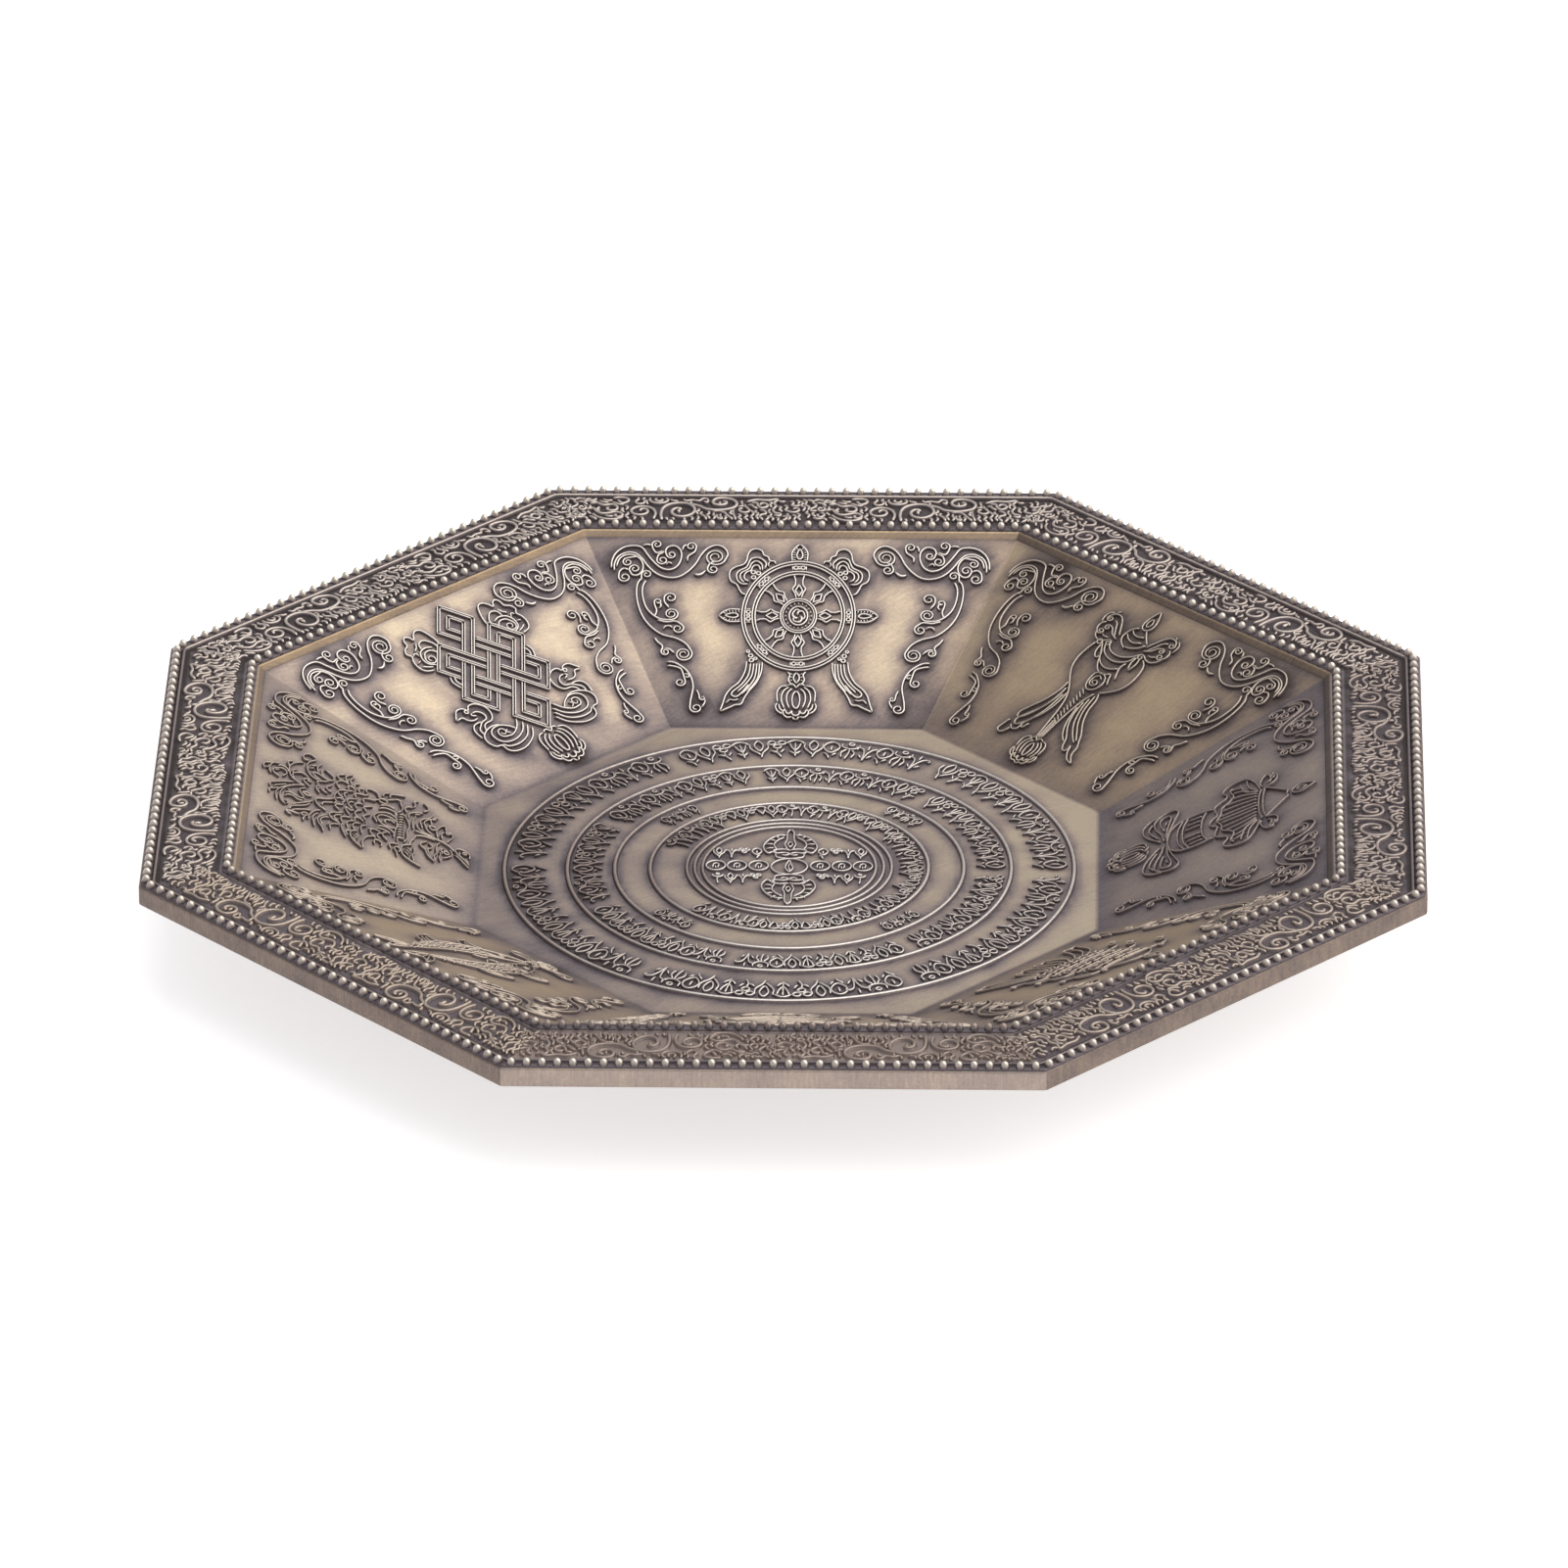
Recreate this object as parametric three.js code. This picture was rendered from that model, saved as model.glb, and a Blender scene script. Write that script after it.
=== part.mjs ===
// Octagonal fire offering tray: one thin casting whose floor, eight sloping walls and flat rim carry
// blocks of raised ornament. Millimetres, +Z up, origin under the middle of the floor; the wall with
// the wheel is the back one and faces +Y. The ornament blocks are plain here: each one has the outline
// and height of its relief.
import * as THREE from 'three';
import { mergeVertices } from 'three/addons/utils/BufferGeometryUtils.js';

// Casting
const rimAcrossFlats = 200;       // outer faces of the skirt
const floorAcrossFlats = 99;      // foot of one wall to the foot of the opposite one
const rimWidth = 14.5;            // skirt's outer face to the ledge
const wallRise = 16.7;            // height from the floor's face to the top of a wall
const floorThickness = 2;
const wallThickness = 1.8;        // square to the wall
const rimThickness = 1.8;
const ledgeRun = 0.6;             // the steep plain ledge between the walls and the rim
const ledgeRise = 0.75;
const skirtDrop = 3.15;           // rim's face down to the skirt's lower edge
const skirtThickness = 1.8;
const skirtCornerRadius = 2.5;    // upright edges of the skirt
const wallCornerRadius = 1;       // creases between the walls, at their tops
const floorCornerRadius = 4;      // the same creases at the floor

// Rim ornament
const outerRowWidth = 1.8;        // bead row along the skirt, across the beads
const outerBeadHeight = 1.3;
const outerRowSetback = 0.2;      // skirt's face to the outer row
const innerRowWidth = 1.8;        // bead row along the ledge
const innerBeadHeight = 1.2;
const innerRowSetback = 0.2;      // ledge's edge to the inner row
const webHeight = 0.4;            // metal left between two beads of a row
const lineWidth = 0.5;            // raised line at the foot of the outer row
const lineHeight = 0.45;
const friezeMargin = 0.6;         // plain strip between a row and the frieze
const friezeHeight = 0.5;
const friezeMitreGap = 0.8;       // between the friezes of two sides

// Wall ornament
const wallReliefHeight = 0.6;
const seatGap = 0.3;              // the blocks on the tilted walls stop this far above them

// Floor ornament
const floorMargin = 4;            // wall's foot to the outermost ring
const ringWidth = 0.9;
const ringHeight = 0.45;
const outerBandWidth = 9;         // free width between the rings, from the outermost one in
const secondBandWidth = 6.6;
const thirdBandWidth = 4.7;
const fourthBandWidth = 5.1;
const bandGap = 0.7;              // ring to the ornament between two rings
const bandReliefHeight = 0.4;
const outerBandShare = 0.72;      // part of the outer band's width that its ornament takes
const medallionRingWidth = 0.55;  // the three rings round the middle
const medallionRingStep = 1.25;
const medallionGap = 0.5;
const quarterMotifSpan = 16;      // degrees taken by each short motif of the third band

const sides = ['right', 'back_right', 'back', 'back_left',
  'left', 'front_left', 'front', 'front_right'];
const sideAngle = 2 * Math.PI / sides.length;
const outerBeadsPerSide = 35;
const innerBeadsPerSide = 32;
const cornerSteps = 3;            // facets round one corner
const ringFacets = 48;
const motifSteps = 4;             // facets along a short motif
const mergeDistance = 1e-4;       // corners closer than this are one corner

const finishes = {
  casting: { color: 0x8b7d67, roughness: 0.45, metalness: 0.85 },
  beads: { color: 0xcabb9d, roughness: 0.35, metalness: 0.9 },
  frieze: { color: 0x6b5f59, roughness: 0.5, metalness: 0.8 },
  relief: { color: 0xa6967b, roughness: 0.4, metalness: 0.9 },
  floorRelief: { color: 0x998b77, roughness: 0.42, metalness: 0.88 },
};

// Worked out from the sizes above
const floorApothem = floorAcrossFlats / 2;
const rimApothem = rimAcrossFlats / 2;
const ledgeApothem = rimApothem - rimWidth;
const wallTopApothem = ledgeApothem - ledgeRun;
const wallTopZ = floorThickness + wallRise;
const wallRun = wallTopApothem - floorApothem;
const rimZ = wallTopZ + ledgeRise;
const wallTilt = Math.atan2(wallRise, wallRun);
const wallLength = Math.hypot(wallRun, wallRise);
const outerRowInner = rimApothem - outerRowSetback - outerRowWidth;
const innerRowInner = ledgeApothem + innerRowSetback;
const halfSide = apothem => apothem * Math.tan(sideAngle / 2);

function finish(name, geometry, finishName) {
  const mesh = new THREE.Mesh(geometry, new THREE.MeshStandardMaterial(finishes[finishName]));
  mesh.name = name;
  return mesh;
}

// One level octagon with rounded corners, as a list of points; a flat side faces +X.
function octagonRing(apothem, z, radius) {
  const reach = (apothem - radius) / Math.cos(sideAngle / 2);
  const points = [];
  for (let corner = 0; corner < sides.length; corner += 1) {
    const middle = (corner + 0.5) * sideAngle;
    for (let step = 0; step <= cornerSteps; step += 1) {
      const angle = (corner + step / cornerSteps) * sideAngle;
      points.push([reach * Math.cos(middle) + radius * Math.cos(angle),
        reach * Math.sin(middle) + radius * Math.sin(angle), z]);
    }
  }
  return points;
}

// Joins rings of equal length into one closed skin. A ring of one point closes an end on the axis;
// without such ends the last ring joins the first.
function skinOver(rings) {
  const positions = rings.flat(2);
  const starts = [];
  let count = 0;
  for (const ring of rings) {
    starts.push(count);
    count += ring.length;
  }
  const faces = [];
  const closedOnAxis = rings[0].length === 1;
  const bands = closedOnAxis ? rings.length - 1 : rings.length;
  for (let band = 0; band < bands; band += 1) {
    const next = (band + 1) % rings.length;
    const around = Math.max(rings[band].length, rings[next].length);
    for (let i = 0; i < around; i += 1) {
      const j = (i + 1) % around;
      const [a, b] = rings[band].length === 1 ? [0, 0] : [i, j];
      const [c, d] = rings[next].length === 1 ? [0, 0] : [i, j];
      if (a !== b) faces.push(starts[band] + a, starts[next] + c, starts[band] + b);
      if (c !== d) faces.push(starts[band] + b, starts[next] + c, starts[next] + d);
    }
  }
  const geometry = new THREE.BufferGeometry();
  geometry.setAttribute('position', new THREE.Float32BufferAttribute(positions, 3));
  geometry.setIndex(faces);
  return geometry;
}

// The casting: from the floor's middle over the walls, ledge and rim, round the skirt and back
// underneath to the middle.
function traySkin() {
  const undersideApothem = z => floorApothem + (z - floorThickness) * wallRun / wallRise
    + wallThickness / Math.sin(wallTilt);
  const rimUnderZ = rimZ - rimThickness;
  const skirtInnerApothem = rimApothem - skirtThickness;
  const skirtInnerRadius = Math.max(skirtCornerRadius - skirtThickness, wallCornerRadius);
  return skinOver([
    [[0, 0, floorThickness]],
    octagonRing(floorApothem, floorThickness, floorCornerRadius),
    octagonRing(wallTopApothem, wallTopZ, wallCornerRadius),
    octagonRing(ledgeApothem, rimZ, wallCornerRadius),
    octagonRing(rimApothem, rimZ, skirtCornerRadius),
    octagonRing(rimApothem, rimZ - skirtDrop, skirtCornerRadius),
    octagonRing(skirtInnerApothem, rimZ - skirtDrop, skirtInnerRadius),
    octagonRing(skirtInnerApothem, rimUnderZ, skirtInnerRadius),
    octagonRing(undersideApothem(rimUnderZ), rimUnderZ, wallCornerRadius),
    octagonRing(undersideApothem(0), 0, floorCornerRadius),
    [[0, 0, 0]],
  ]);
}

// A row of beads round the rim. It rises to a crest in the middle of each bead and drops to the web
// between two; at every corner two sides meet in a web.
function beadRow(inner, width, beadHeight, beadsPerSide) {
  const stations = [];
  for (let side = 0; side < sides.length; side += 1) {
    const cos = Math.cos(side * sideAngle);
    const sin = Math.sin(side * sideAngle);
    for (let half = 0; half < 2 * beadsPerSide; half += 1) {
      const along = half / beadsPerSide - 1;
      const height = half % 2 === 0 ? webHeight : beadHeight;
      const section = [[inner, 0], [inner + width, 0], [inner + width / 2, height]];
      stations.push(section.map(([apothem, z]) => {
        const offset = along * halfSide(apothem);
        return [apothem * cos - offset * sin, apothem * sin + offset * cos, rimZ + z];
      }));
    }
  }
  return skinOver(stations);
}

function rimLine() {
  const section = [[outerRowInner, 0], [outerRowInner - lineWidth, 0],
    [outerRowInner - lineWidth, lineHeight], [outerRowInner, lineHeight]];
  return skinOver(section.map(([apothem, z]) => octagonRing(apothem, rimZ + z, wallCornerRadius)));
}

// A flat block with the outline of its ornament, standing on z = 0 of its own frame.
function block(points, height) {
  const shape = new THREE.Shape(points.map(([x, y]) => new THREE.Vector2(x, y)));
  return new THREE.ExtrudeGeometry(shape, { depth: height, bevelEnabled: false });
}

function friezeBlock() {
  const inner = innerRowInner + innerRowWidth + friezeMargin;
  const outer = outerRowInner - lineWidth - friezeMargin;
  const trim = friezeMitreGap / 2 / Math.cos(sideAngle / 2);
  return block([
    [-halfSide(inner) + trim, inner],
    [halfSide(inner) - trim, inner],
    [halfSide(outer) - trim, outer],
    [-halfSide(outer) + trim, outer],
  ], friezeHeight);
}

// Corner scroll of a wall, as [across, down]: across runs from 0 in the middle of the wall to 1 at its
// crease, down from 0 at the wall's top to 1 at its foot. The arm under the rim comes first, then the
// clusters along the inner side, the sprig at the foot and the stem back up along the crease.
const scrollOutline = [
  [0.939, 0.179], [0.892, 0.106], [0.786, 0.057], [0.664, 0.037], [0.594, 0.055], [0.521, 0.044],
  [0.478, 0.077], [0.401, 0.055], [0.35, 0.088], [0.364, 0.148], [0.42, 0.219], [0.527, 0.219],
  [0.633, 0.23], [0.744, 0.252], [0.79, 0.303], [0.715, 0.314], [0.652, 0.351], [0.67, 0.42],
  [0.665, 0.493], [0.7, 0.533], [0.654, 0.596], [0.667, 0.661], [0.731, 0.694], [0.709, 0.778],
  [0.653, 0.862], [0.67, 0.917], [0.752, 0.961], [0.809, 0.943], [0.796, 0.833], [0.847, 0.8],
  [0.829, 0.742], [0.871, 0.654], [0.859, 0.596], [0.91, 0.515], [0.909, 0.406], [0.879, 0.314],
  [0.844, 0.274], [0.914, 0.267], [0.939, 0.23],
];

function scrollBlock(hand) {
  return block(scrollOutline.map(([across, down]) => {
    const half = halfSide(wallTopApothem + (floorApothem - wallTopApothem) * down);
    return [hand * across * half, -down * wallLength];
  }), wallReliefHeight);
}

// Right halves of the symbols, from top to foot, as [across, down]: across is a share of half the
// wall's width at mid height, down runs from 0 at the wall's top to 1 at its foot.
const symbolOutlines = {
  // Wheel with a leaf at the top and at each side, clouds, ribbons and a lotus bud
  wheel: [[0, 0.04], [0.06, 0.07], [0.08, 0.135], [0.15, 0.16], [0.22, 0.085], [0.32, 0.07],
    [0.37, 0.13], [0.42, 0.2], [0.41, 0.275], [0.32, 0.32], [0.335, 0.385], [0.45, 0.43],
    [0.335, 0.47], [0.32, 0.56], [0.265, 0.655], [0.32, 0.76], [0.4, 0.9], [0.39, 0.94],
    [0.28, 0.915], [0.19, 0.805], [0.16, 0.73], [0.08, 0.75], [0.105, 0.835], [0.09, 0.935],
    [0.04, 0.967], [0, 0.97]],
  // Endless knot, tall, with clouds above, ribbon scrolls below and a bud
  endless_knot: [[0, 0.02], [0.05, 0.03], [0.14, 0.11], [0.19, 0.165], [0.26, 0.14], [0.37, 0.14],
    [0.4, 0.21], [0.4, 0.285], [0.335, 0.34], [0.345, 0.49], [0.27, 0.57], [0.31, 0.58],
    [0.42, 0.555], [0.49, 0.585], [0.475, 0.67], [0.42, 0.76], [0.33, 0.825], [0.205, 0.835],
    [0.12, 0.81], [0.115, 0.85], [0.13, 0.925], [0.06, 0.965], [0, 0.975]],
  // Lotus in full flower among leaves, on its stalk
  lotus: [[0, 0.04], [0.1, 0.05], [0.21, 0.085], [0.3, 0.175], [0.4, 0.24], [0.43, 0.285],
    [0.31, 0.33], [0.43, 0.41], [0.365, 0.505], [0.43, 0.66], [0.43, 0.76], [0.31, 0.78],
    [0.26, 0.87], [0.11, 0.835], [0.07, 0.92], [0, 0.97]],
  // Pair of fish, heads together at the foot, tails spread at the top
  fish_pair: [[0, 0.6], [0.05, 0.52], [0.1, 0.36], [0.13, 0.25], [0.09, 0.13], [0.2, 0.17],
    [0.29, 0.1], [0.31, 0.2], [0.25, 0.28], [0.32, 0.4], [0.34, 0.54], [0.3, 0.68], [0.22, 0.8],
    [0.1, 0.88], [0.04, 0.9], [0, 0.86]],
  // Vase with a jewel in its mouth, side ribbons and a lotus foot
  vase: [[0, 0.04], [0.05, 0.08], [0.07, 0.15], [0.15, 0.2], [0.14, 0.26], [0.08, 0.31],
    [0.12, 0.37], [0.26, 0.41], [0.34, 0.52], [0.32, 0.63], [0.22, 0.73], [0.13, 0.78],
    [0.19, 0.83], [0.25, 0.89], [0.2, 0.945], [0.08, 0.965], [0, 0.97]],
  // Banner of three hooped tiers with a jewel on top and spread ribbons
  banner: [[0, 0.04], [0.05, 0.08], [0.06, 0.15], [0.16, 0.19], [0.22, 0.25], [0.19, 0.3],
    [0.25, 0.34], [0.22, 0.39], [0.28, 0.44], [0.25, 0.49], [0.31, 0.54], [0.28, 0.61],
    [0.24, 0.64], [0.33, 0.75], [0.41, 0.87], [0.37, 0.93], [0.27, 0.88], [0.16, 0.75], [0.1, 0.73],
    [0.11, 0.84], [0.09, 0.94], [0, 0.97]],
  // Canopy with a draped valance over its drum, clouds, ribbon lobes and a bud
  parasol: [[0, 0.045], [0.055, 0.09], [0.05, 0.16], [0.17, 0.24], [0.22, 0.21], [0.33, 0.22],
    [0.32, 0.285], [0.3, 0.31], [0.41, 0.35], [0.385, 0.43], [0.28, 0.47], [0.19, 0.505],
    [0.22, 0.58], [0.215, 0.625], [0.31, 0.605], [0.42, 0.65], [0.385, 0.74], [0.31, 0.81],
    [0.18, 0.81], [0.1, 0.74], [0.065, 0.78], [0.075, 0.815], [0.165, 0.87], [0.155, 0.935],
    [0.05, 0.97], [0, 0.97]],
  // Conch with its point upwards, two bows, a twisted tail with a bud and two ribbons
  conch: [[0, 0.05], [0.045, 0.13], [0.075, 0.165], [0.155, 0.13], [0.25, 0.115], [0.28, 0.195],
    [0.22, 0.275], [0.225, 0.35], [0.205, 0.415], [0.115, 0.505], [0.155, 0.58], [0.22, 0.705],
    [0.31, 0.835], [0.3, 0.875], [0.205, 0.86], [0.13, 0.74], [0.065, 0.605], [0.03, 0.65],
    [0.03, 0.81], [0.105, 0.865], [0.1, 0.945], [0, 0.975]],
};
const symbolOfSide = {
  right: 'parasol', back_right: 'conch', back: 'wheel', back_left: 'endless_knot',
  left: 'lotus', front_left: 'fish_pair', front: 'vase', front_right: 'banner',
};

function symbolBlock(symbol) {
  const half = symbolOutlines[symbol];
  const mirrored = half.slice(1, -1).map(([across, down]) => [-across, down]).reverse();
  const halfWidth = halfSide((wallTopApothem + floorApothem) / 2);
  return block([...half, ...mirrored].map(([across, down]) => [across * halfWidth, -down * wallLength]),
    wallReliefHeight);
}

// A level ring with a rectangular section, standing on the floor's face.
function floorRing(outerRadius, width, height) {
  const innerRadius = outerRadius - width;
  const section = [[innerRadius, 0], [outerRadius, 0], [outerRadius, height], [innerRadius, height],
    [innerRadius, 0]];
  const profile = section.map(([r, z]) => new THREE.Vector2(r, floorThickness + z));
  return new THREE.LatheGeometry(profile, ringFacets).rotateX(Math.PI / 2);
}

// A short curved motif of the third band, centred on an angle.
function quarterMotif(outerRadius, width, middle) {
  const half = THREE.MathUtils.degToRad(quarterMotifSpan / 2);
  const shape = new THREE.Shape();
  shape.absarc(0, 0, outerRadius, middle - half, middle + half, false);
  shape.absarc(0, 0, outerRadius - width, middle + half, middle - half, true);
  shape.closePath();
  const geometry = new THREE.ExtrudeGeometry(shape,
    { depth: bandReliefHeight, bevelEnabled: false, curveSegments: motifSteps });
  return geometry.translate(0, 0, floorThickness);
}

// One quarter of the medallion's cross as shares of its radius: the prong of the upright vajra, its
// head, and the row of small circles that runs across the middle.
const crossQuarter = [[0, 0.95], [0.11, 0.81], [0.32, 0.66], [0.34, 0.43], [0.84, 0.41],
  [0.84, 0.145], [0.98, 0.13]];

function medallionCross(radius) {
  const right = [...crossQuarter, ...crossQuarter.slice(1).map(([x, y]) => [x, -y]).reverse()];
  const left = right.map(([x, y]) => [-x, -y]);
  const outline = [...right, [0, -crossQuarter[0][1]], ...left.slice(1)];
  return block(outline.map(([x, y]) => [x * radius, y * radius]), bandReliefHeight)
    .translate(0, 0, floorThickness);
}

const tray = new THREE.Group();
tray.add(finish('tray_shell', traySkin(), 'casting'));
tray.add(finish('outer_bead_row',
  beadRow(outerRowInner, outerRowWidth, outerBeadHeight, outerBeadsPerSide), 'beads'));
tray.add(finish('inner_bead_row',
  beadRow(innerRowInner, innerRowWidth, innerBeadHeight, innerBeadsPerSide), 'beads'));
tray.add(finish('rim_line', rimLine(), 'frieze'));

sides.forEach((side, index) => {
  const turned = new THREE.Group();
  turned.rotation.z = index * sideAngle - Math.PI / 2;
  const rim = new THREE.Group();
  rim.position.z = rimZ;
  rim.add(finish(`frieze_${side}`, friezeBlock(), 'frieze'));
  const wall = new THREE.Group();
  wall.position.set(0, wallTopApothem, wallTopZ);
  wall.rotation.x = wallTilt;
  const pieces = [
    finish(`${symbolOfSide[side]}_${side}`, symbolBlock(symbolOfSide[side]), 'relief'),
    finish(`scroll_${side}_l`, scrollBlock(-1), 'relief'),
    finish(`scroll_${side}_r`, scrollBlock(1), 'relief'),
  ];
  for (const piece of pieces) {
    piece.position.z = seatGap;
    wall.add(piece);
  }
  turned.add(rim, wall);
  tray.add(turned);
});

const outerRingRadius = floorApothem - floorMargin;
const secondRingRadius = outerRingRadius - ringWidth - outerBandWidth;
const thirdRingRadius = secondRingRadius - ringWidth - secondBandWidth;
const fourthRingRadius = thirdRingRadius - ringWidth - thirdBandWidth;
const medallionRadius = fourthRingRadius - ringWidth - fourthBandWidth;
const floorRings = {
  outer: outerRingRadius, second: secondRingRadius, third: thirdRingRadius, fourth: fourthRingRadius,
};
for (const [name, radius] of Object.entries(floorRings)) {
  tray.add(finish(`floor_ring_${name}`, floorRing(radius, ringWidth, ringHeight), 'floorRelief'));
}
['outer', 'middle', 'inner'].forEach((name, index) => {
  const radius = medallionRadius - index * medallionRingStep;
  const ring = floorRing(radius, medallionRingWidth, ringHeight);
  tray.add(finish(`medallion_ring_${name}`, ring, 'floorRelief'));
});

const bands = {
  outer: [outerRingRadius, (outerBandWidth - 2 * bandGap) * outerBandShare],
  second: [secondRingRadius, secondBandWidth - 2 * bandGap],
  fourth: [fourthRingRadius, fourthBandWidth - 2 * bandGap],
};
for (const [name, [ringRadius, width]] of Object.entries(bands)) {
  const band = floorRing(ringRadius - ringWidth - bandGap, width, bandReliefHeight);
  tray.add(finish(`ornament_band_${name}`, band, 'floorRelief'));
}

const motifRadius = thirdRingRadius - ringWidth - bandGap;
const motifWidth = thirdBandWidth - 2 * bandGap;
['back_right', 'back_left', 'front_left', 'front_right'].forEach(side => {
  const middle = sides.indexOf(side) * sideAngle;
  const motif = quarterMotif(motifRadius, motifWidth, middle);
  tray.add(finish(`quarter_motif_${side}`, motif, 'floorRelief'));
});

const crossRadius = medallionRadius - 2 * medallionRingStep - medallionRingWidth - medallionGap;
tray.add(finish('medallion_vajra', medallionCross(crossRadius), 'floorRelief'));

tray.traverse(item => {
  if (!item.isMesh) return;
  item.geometry.deleteAttribute('normal');
  item.geometry.deleteAttribute('uv');
  item.geometry = mergeVertices(item.geometry, mergeDistance);
});

export default tray;
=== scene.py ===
import math
from types import SimpleNamespace

import bpy
import numpy as np
from mathutils import Matrix, Vector


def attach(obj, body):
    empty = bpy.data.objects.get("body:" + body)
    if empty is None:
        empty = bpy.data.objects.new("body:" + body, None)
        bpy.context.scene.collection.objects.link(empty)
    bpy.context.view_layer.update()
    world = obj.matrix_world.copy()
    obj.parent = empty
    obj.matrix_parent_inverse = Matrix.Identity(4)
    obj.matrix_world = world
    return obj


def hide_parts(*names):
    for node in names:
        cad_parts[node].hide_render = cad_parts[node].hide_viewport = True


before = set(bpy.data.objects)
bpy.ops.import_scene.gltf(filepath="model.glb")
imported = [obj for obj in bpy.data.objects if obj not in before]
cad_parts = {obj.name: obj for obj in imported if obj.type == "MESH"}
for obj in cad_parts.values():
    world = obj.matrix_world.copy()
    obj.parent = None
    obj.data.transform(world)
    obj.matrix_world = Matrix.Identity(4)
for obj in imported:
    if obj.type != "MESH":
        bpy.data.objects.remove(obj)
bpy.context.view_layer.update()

# The studio. A long lens looks down on the tray from the front, a little over a quarter of the
# way up. The table is a plain pale sheet that runs out of the picture on every side; a soft sky
# and one broad soft lamp, high on the right and a little behind, light it.

MM = 0.001
# Place, turn and lens of the camera, fitted to the corners of the octagon
CAMERA_DISTANCE = 2362.15 * MM
CAMERA_ELEVATION = math.radians(27.143)
CAMERA_AZIMUTH = math.radians(1.495)
CAMERA_ROLL = math.radians(-0.265)
CAMERA_TARGET = Vector((-1.534, 29.236, 2.0)) * MM
LENS = 339.26
SENSOR = 36.0
NEAR_LIMIT = 0.1
FAR_LIMIT = 50.0

PAPER = "#FFFFFF"
PAPER_ROUGHNESS = 0.9
PAPER_GLOSS = 0.2
PAPER_GRAINS_PER_METRE = 900.0
PAPER_TOOTH = 0.1 * MM
PAPER_TOOTH_STRENGTH = 0.03
PAPER_HALF_SIZE = 6.0
PAPER_GAP = 0.02 * MM
PAPER_GLOW = 0.6
PAPER_GLOW_IN_METAL = 0.4
SKY = "#F4F4F8"
SKY_STRENGTH = 0.52
LAMP = "#FFFCF6"
LAMP_STRENGTH = 1.75
LAMP_SPREAD = math.radians(95)
LAMP_FROM = Vector((0.55, 0.15, 0.82))


def linear(hex_colour):
    """An sRGB hex colour as linear red, green, blue and alpha."""
    value = np.array([int(hex_colour[i:i + 2], 16) for i in (1, 3, 5)]) / 255
    value = np.where(value <= 0.04045, value / 12.92, ((value + 0.055) / 1.055) ** 2.4)
    return (*value.tolist(), 1.0)


def add_node(tree, kind, inputs=(), **settings):
    """One node with its settings; each input is a socket to link from or a plain value."""
    made = tree.nodes.new(kind)
    for name, value in settings.items():
        setattr(made, name, value)
    for key, value in dict(inputs).items():
        if isinstance(value, bpy.types.NodeSocket):
            tree.links.new(value, made.inputs[key])
        else:
            made.inputs[key].default_value = value
    return made


def new_material(name):
    """An empty node material with its output; returns the material, its tree and the output."""
    material = bpy.data.materials.new(name)
    material.use_nodes = True
    material.node_tree.nodes.clear()
    output = add_node(material.node_tree, "ShaderNodeOutputMaterial")
    return material, material.node_tree, output


def place_camera():
    """Camera axes from the three angles; it stands back from the target along its own axis."""
    sin_az, cos_az = math.sin(CAMERA_AZIMUTH), math.cos(CAMERA_AZIMUTH)
    sin_el, cos_el = math.sin(CAMERA_ELEVATION), math.cos(CAMERA_ELEVATION)
    back = Vector((sin_az * cos_el, -cos_az * cos_el, sin_el))
    right = Vector((cos_az, sin_az, 0))
    up = back.cross(right)
    cos_roll, sin_roll = math.cos(CAMERA_ROLL), math.sin(CAMERA_ROLL)
    rolled_right = cos_roll * right + sin_roll * up
    rolled_up = cos_roll * up - sin_roll * right
    lens = bpy.data.cameras.new("photo_camera")
    lens.lens = LENS
    lens.sensor_width = SENSOR
    lens.clip_start = NEAR_LIMIT
    lens.clip_end = FAR_LIMIT
    camera = bpy.data.objects.new("photo_camera", lens)
    turned = Matrix((rolled_right, rolled_up, back)).transposed().to_4x4()
    camera.matrix_world = Matrix.Translation(CAMERA_TARGET + back * CAMERA_DISTANCE) @ turned
    bpy.context.scene.collection.objects.link(camera)
    bpy.context.scene.camera = camera


def pale_paper():
    """Matt white background paper, smooth, with only a faint unevenness of its surface. The
    camera and the metal see it a little lighter than it is lit, so that it comes out white. Its
    back is clear, so that the underside of the tray can be looked at from below."""
    material, tree, output = new_material("matt_white_paper")
    where = add_node(tree, "ShaderNodeTexCoord").outputs["Object"]
    grain = add_node(tree, "ShaderNodeTexNoise", {"Vector": where, "Scale": PAPER_GRAINS_PER_METRE})
    bump = add_node(tree, "ShaderNodeBump", {
        "Height": grain.outputs[0], "Strength": PAPER_TOOTH_STRENGTH, "Distance": PAPER_TOOTH})
    rays = add_node(tree, "ShaderNodeLightPath").outputs
    seen = add_node(tree, "ShaderNodeMath", {0: rays["Is Camera Ray"], 1: PAPER_GLOW},
                    operation="MULTIPLY")
    glow = add_node(tree, "ShaderNodeMath", {0: rays["Is Glossy Ray"], 1: PAPER_GLOW_IN_METAL,
                                             2: seen.outputs[0]}, operation="MULTIPLY_ADD")
    paper = add_node(tree, "ShaderNodeBsdfPrincipled", {
        "Base Color": linear(PAPER), "Roughness": PAPER_ROUGHNESS, "Specular IOR Level": PAPER_GLOSS,
        "Emission Color": linear(PAPER), "Emission Strength": glow.outputs[0],
        "Normal": bump.outputs[0]})
    clear = add_node(tree, "ShaderNodeBsdfTransparent")
    behind = add_node(tree, "ShaderNodeNewGeometry").outputs["Backfacing"]
    sheet = add_node(tree, "ShaderNodeMixShader",
                     {0: behind, 1: paper.outputs[0], 2: clear.outputs[0]})
    tree.links.new(sheet.outputs[0], output.inputs[0])
    return material


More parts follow.
